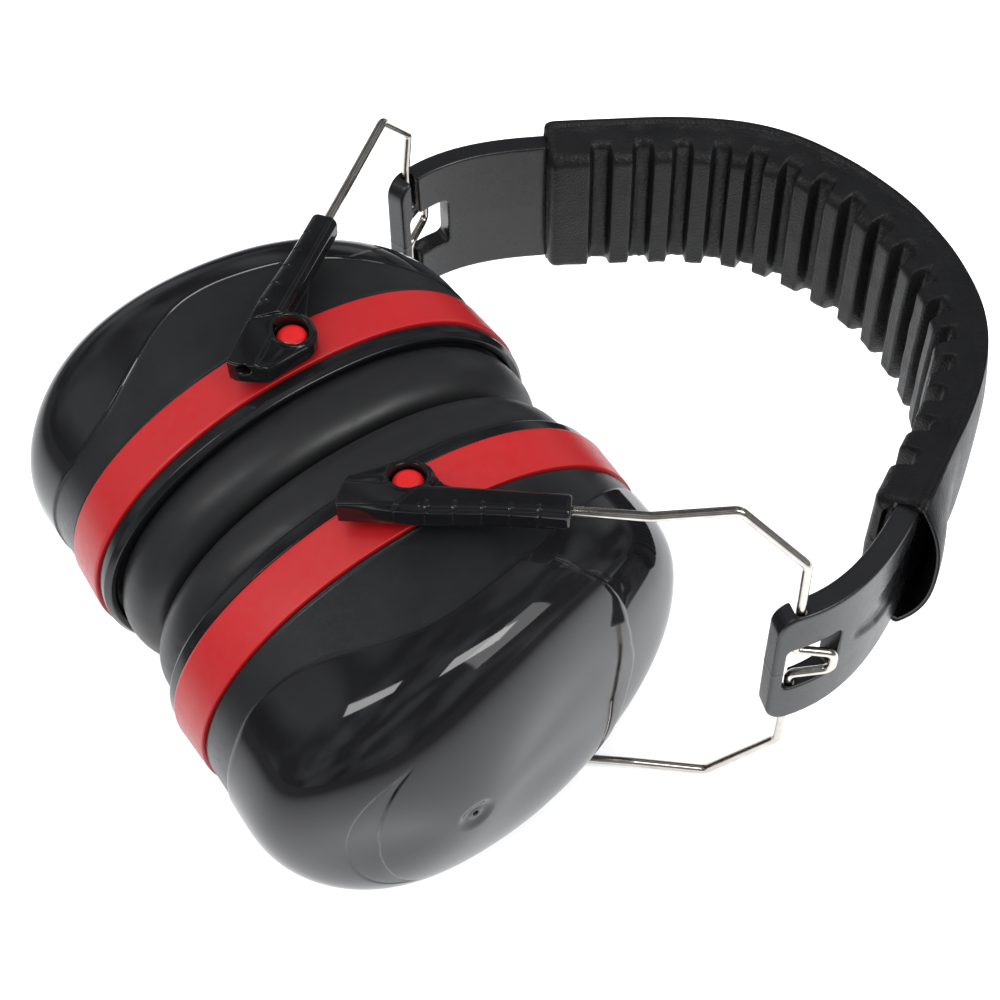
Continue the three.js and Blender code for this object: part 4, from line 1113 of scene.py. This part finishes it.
for label, side in (("right", 1), ("left", -1)):
    cup = "cup_" + label
    put(build_dome("shell_" + label, side), cup, "cup_shell_" + label)
    put(build_turned_ring("ring_" + label, side, RED_RING, RED_RING_RADII, RED),
        cup, "cup_ring_" + label)
    put(build_turned_ring("plate_" + label, side, PLATE, PLATE_RADII, LIP),
        cup, "cushion_plate_" + label)
    put(build_cushion("cushion_" + label, side), cup, "ear_cushion_" + label)
    put(build_foam_liner("liner_" + label, side), cup, "acoustic_foam_" + label)
    for end, face in (("front", 1), ("rear", -1)):
        place = f"{end}_{label}"
        put(build_pin("pin_" + place, side, face), cup, "pivot_pin_" + place)
        put(build_arm("arm_" + place, side, face), "arm_" + place,
            "slider_arm_" + place)
    put(build_wire("wire_" + label, side), "wire_" + label,
        "spring_wire_" + label)


# --------------------------------------------------------------------- floor
def floor_material():
    """Pale, faintly glowing sheet whose reflections fade out with distance."""
    made = material("floor_pale", colour=(0.86, 0.86, 0.86), roughness=0.65,
                    mottle=(3, 0.01), wear=(30, 0.03), specular=0.2)
    tree = made.node_tree
    shader = tree.nodes["Principled BSDF"]
    shader.inputs["Emission Color"].default_value = (1, 1, 1, 1)
    shader.inputs["Emission Strength"].default_value = 0.22
    output = [node for node in tree.nodes if node.type == "OUTPUT_MATERIAL"][0]
    position = add_node(tree, "NewGeometry").outputs["Position"]
    distance = add_node(tree, "VectorMath", {0: position}, operation="LENGTH")
    fade = add_node(tree, "MapRange", {
        "From Min": 0.10, "From Max": 0.55, "To Min": 0.22, "To Max": 0.93,
        "Value": distance.outputs["Value"]}, interpolation_type="SMOOTHSTEP")
    glossy_ray = add_node(tree, "LightPath").outputs["Is Glossy Ray"]
    factor = add_node(tree, "Math", {0: fade.outputs["Result"], 1: glossy_ray},
                      operation="MULTIPLY")
    dark = add_node(tree, "BsdfDiffuse", {"Color": (0, 0, 0, 1)})
    mixed = add_node(tree, "MixShader", {0: factor.outputs[0], 1: shader.outputs["BSDF"],
                                         2: dark.outputs["BSDF"]})
    tree.links.new(mixed.outputs[0], output.inputs["Surface"])
    return made


floor_mesh = bpy.data.meshes.new("floor")
floor_mesh.from_pydata([(-3, -3, 0), (3, -3, 0), (3, 3, 0), (-3, 3, 0)], [], [(0, 1, 2, 3)])
floor = bpy.data.objects.new("floor", floor_mesh)
bpy.context.scene.collection.objects.link(floor)
floor_mesh.materials.append(floor_material())


# -------------------------------------------------------------------- lights
def placed(rotation, origin):
    matrix = rotation.to_4x4()
    matrix.translation = origin
    return matrix


def area_light(name, size, power, matrix):
    light = bpy.data.lights.new(name, "AREA")
    light.shape = "RECTANGLE"
    light.size, light.size_y = size
    light.energy = power
    obj = bpy.data.objects.new(name, light)
    obj.matrix_world = matrix
    bpy.context.scene.collection.objects.link(obj)
    return obj


def aimed_light(name, at, size, power):
    """Light at a place in metres, aimed at the headphones."""
    direction = Vector((0, 0, 0.05)) - Vector(at)
    rotation = direction.to_track_quat("-Z", "Y").to_matrix()
    return area_light(name, size, power, placed(rotation, at))


def strip_light(name, near, start, end, width, distance, power):
    """Softbox seen from the layout point near between the directions start and end."""
    near = Vector(world(near))
    start = near + Vector(start).normalized() * distance
    end = near + Vector(end).normalized() * distance
    middle = (start + end) / 2
    z = (middle - near).normalized()
    x = (end - start).normalized()
    y = z.cross(x).normalized()
    x = y.cross(z).normalized()
    area_light(name, ((end - start).length, width), power,
               placed(Matrix((x, y, z)).transposed(), middle))


key = aimed_light("key", at=(-0.5, -0.2, 1.5), size=(1.0, 1.0), power=12)
key.visible_glossy = False
aimed_light("fill", at=(1.2, 0.6, 1.1), size=(0.8, 0.8), power=5)
strip_light("window_1", near=(57.5, -29, 33.5), start=(-0.33, -0.63, 0.70),
            end=(-0.01, -0.35, 0.94), width=0.17, distance=1.4, power=2.6)
strip_light("window_2", near=(61.0, -8, 37.0), start=(0.48, -0.02, 0.88),
            end=(0.65, 0.38, 0.66), width=0.26, distance=1.4, power=4.2)


def build_world():
    """Soft light from all round; reflections see a dark, cloudy room instead."""
    made = bpy.data.worlds.new("world")
    bpy.context.scene.world = made
    made.use_nodes = True
    tree = made.node_tree
    background = tree.nodes["Background"]
    glossy_ray = add_node(tree, "LightPath").outputs["Is Glossy Ray"]
    direction = add_node(tree, "TexCoord").outputs["Generated"]
    cloud = add_node(tree, "TexNoise", {"Scale": 2.6, "Detail": 1.0, "Vector": direction})
    dim = add_node(tree, "MapRange", {
        "From Min": 0.42, "From Max": 0.66, "To Min": 0.02, "To Max": 0.42,
        "Value": cloud.outputs["Fac"]})
    # inputs 0, 2 and 3: factor, strength as light, strength in reflections
    strength = add_node(tree, "Mix", {0: glossy_ray, 2: 1.75, 3: dim.outputs["Result"]},
                        data_type="FLOAT")
    tree.links.new(strength.outputs[0], background.inputs["Strength"])
    background.inputs["Color"].default_value = (0.95, 0.97, 1.0, 1)


build_world()

# -------------------------------------------------------------------- camera
AZIMUTH, ELEVATION, ROLL = map(math.radians, (57.8, 51.5, -0.82))
CAMERA_TARGET = (7.51, 32.02, 0)       # layout millimetres
CAMERA_DISTANCE = 0.4637               # metres


def build_camera():
    back = Vector((math.sin(AZIMUTH) * math.cos(ELEVATION),
                   -math.cos(AZIMUTH) * math.cos(ELEVATION), math.sin(ELEVATION)))
    level = Vector((math.cos(AZIMUTH), math.sin(AZIMUTH), 0))
    upright = back.cross(level)
    right = level * math.cos(ROLL) + upright * math.sin(ROLL)
    up = -level * math.sin(ROLL) + upright * math.cos(ROLL)
    data = bpy.data.cameras.new("camera")
    data.sensor_width = 36
    data.lens = 73.476
    data.clip_start = 0.01
    camera = bpy.data.objects.new("camera", data)
    camera.matrix_world = placed(Matrix((right, up, back)).transposed(),
                                 Vector(world(CAMERA_TARGET)) + back * CAMERA_DISTANCE)
    bpy.context.scene.collection.objects.link(camera)
    bpy.context.scene.camera = camera


build_camera()
bpy.context.scene.view_settings.view_transform = "Standard"

bpy.context.view_layer.update()
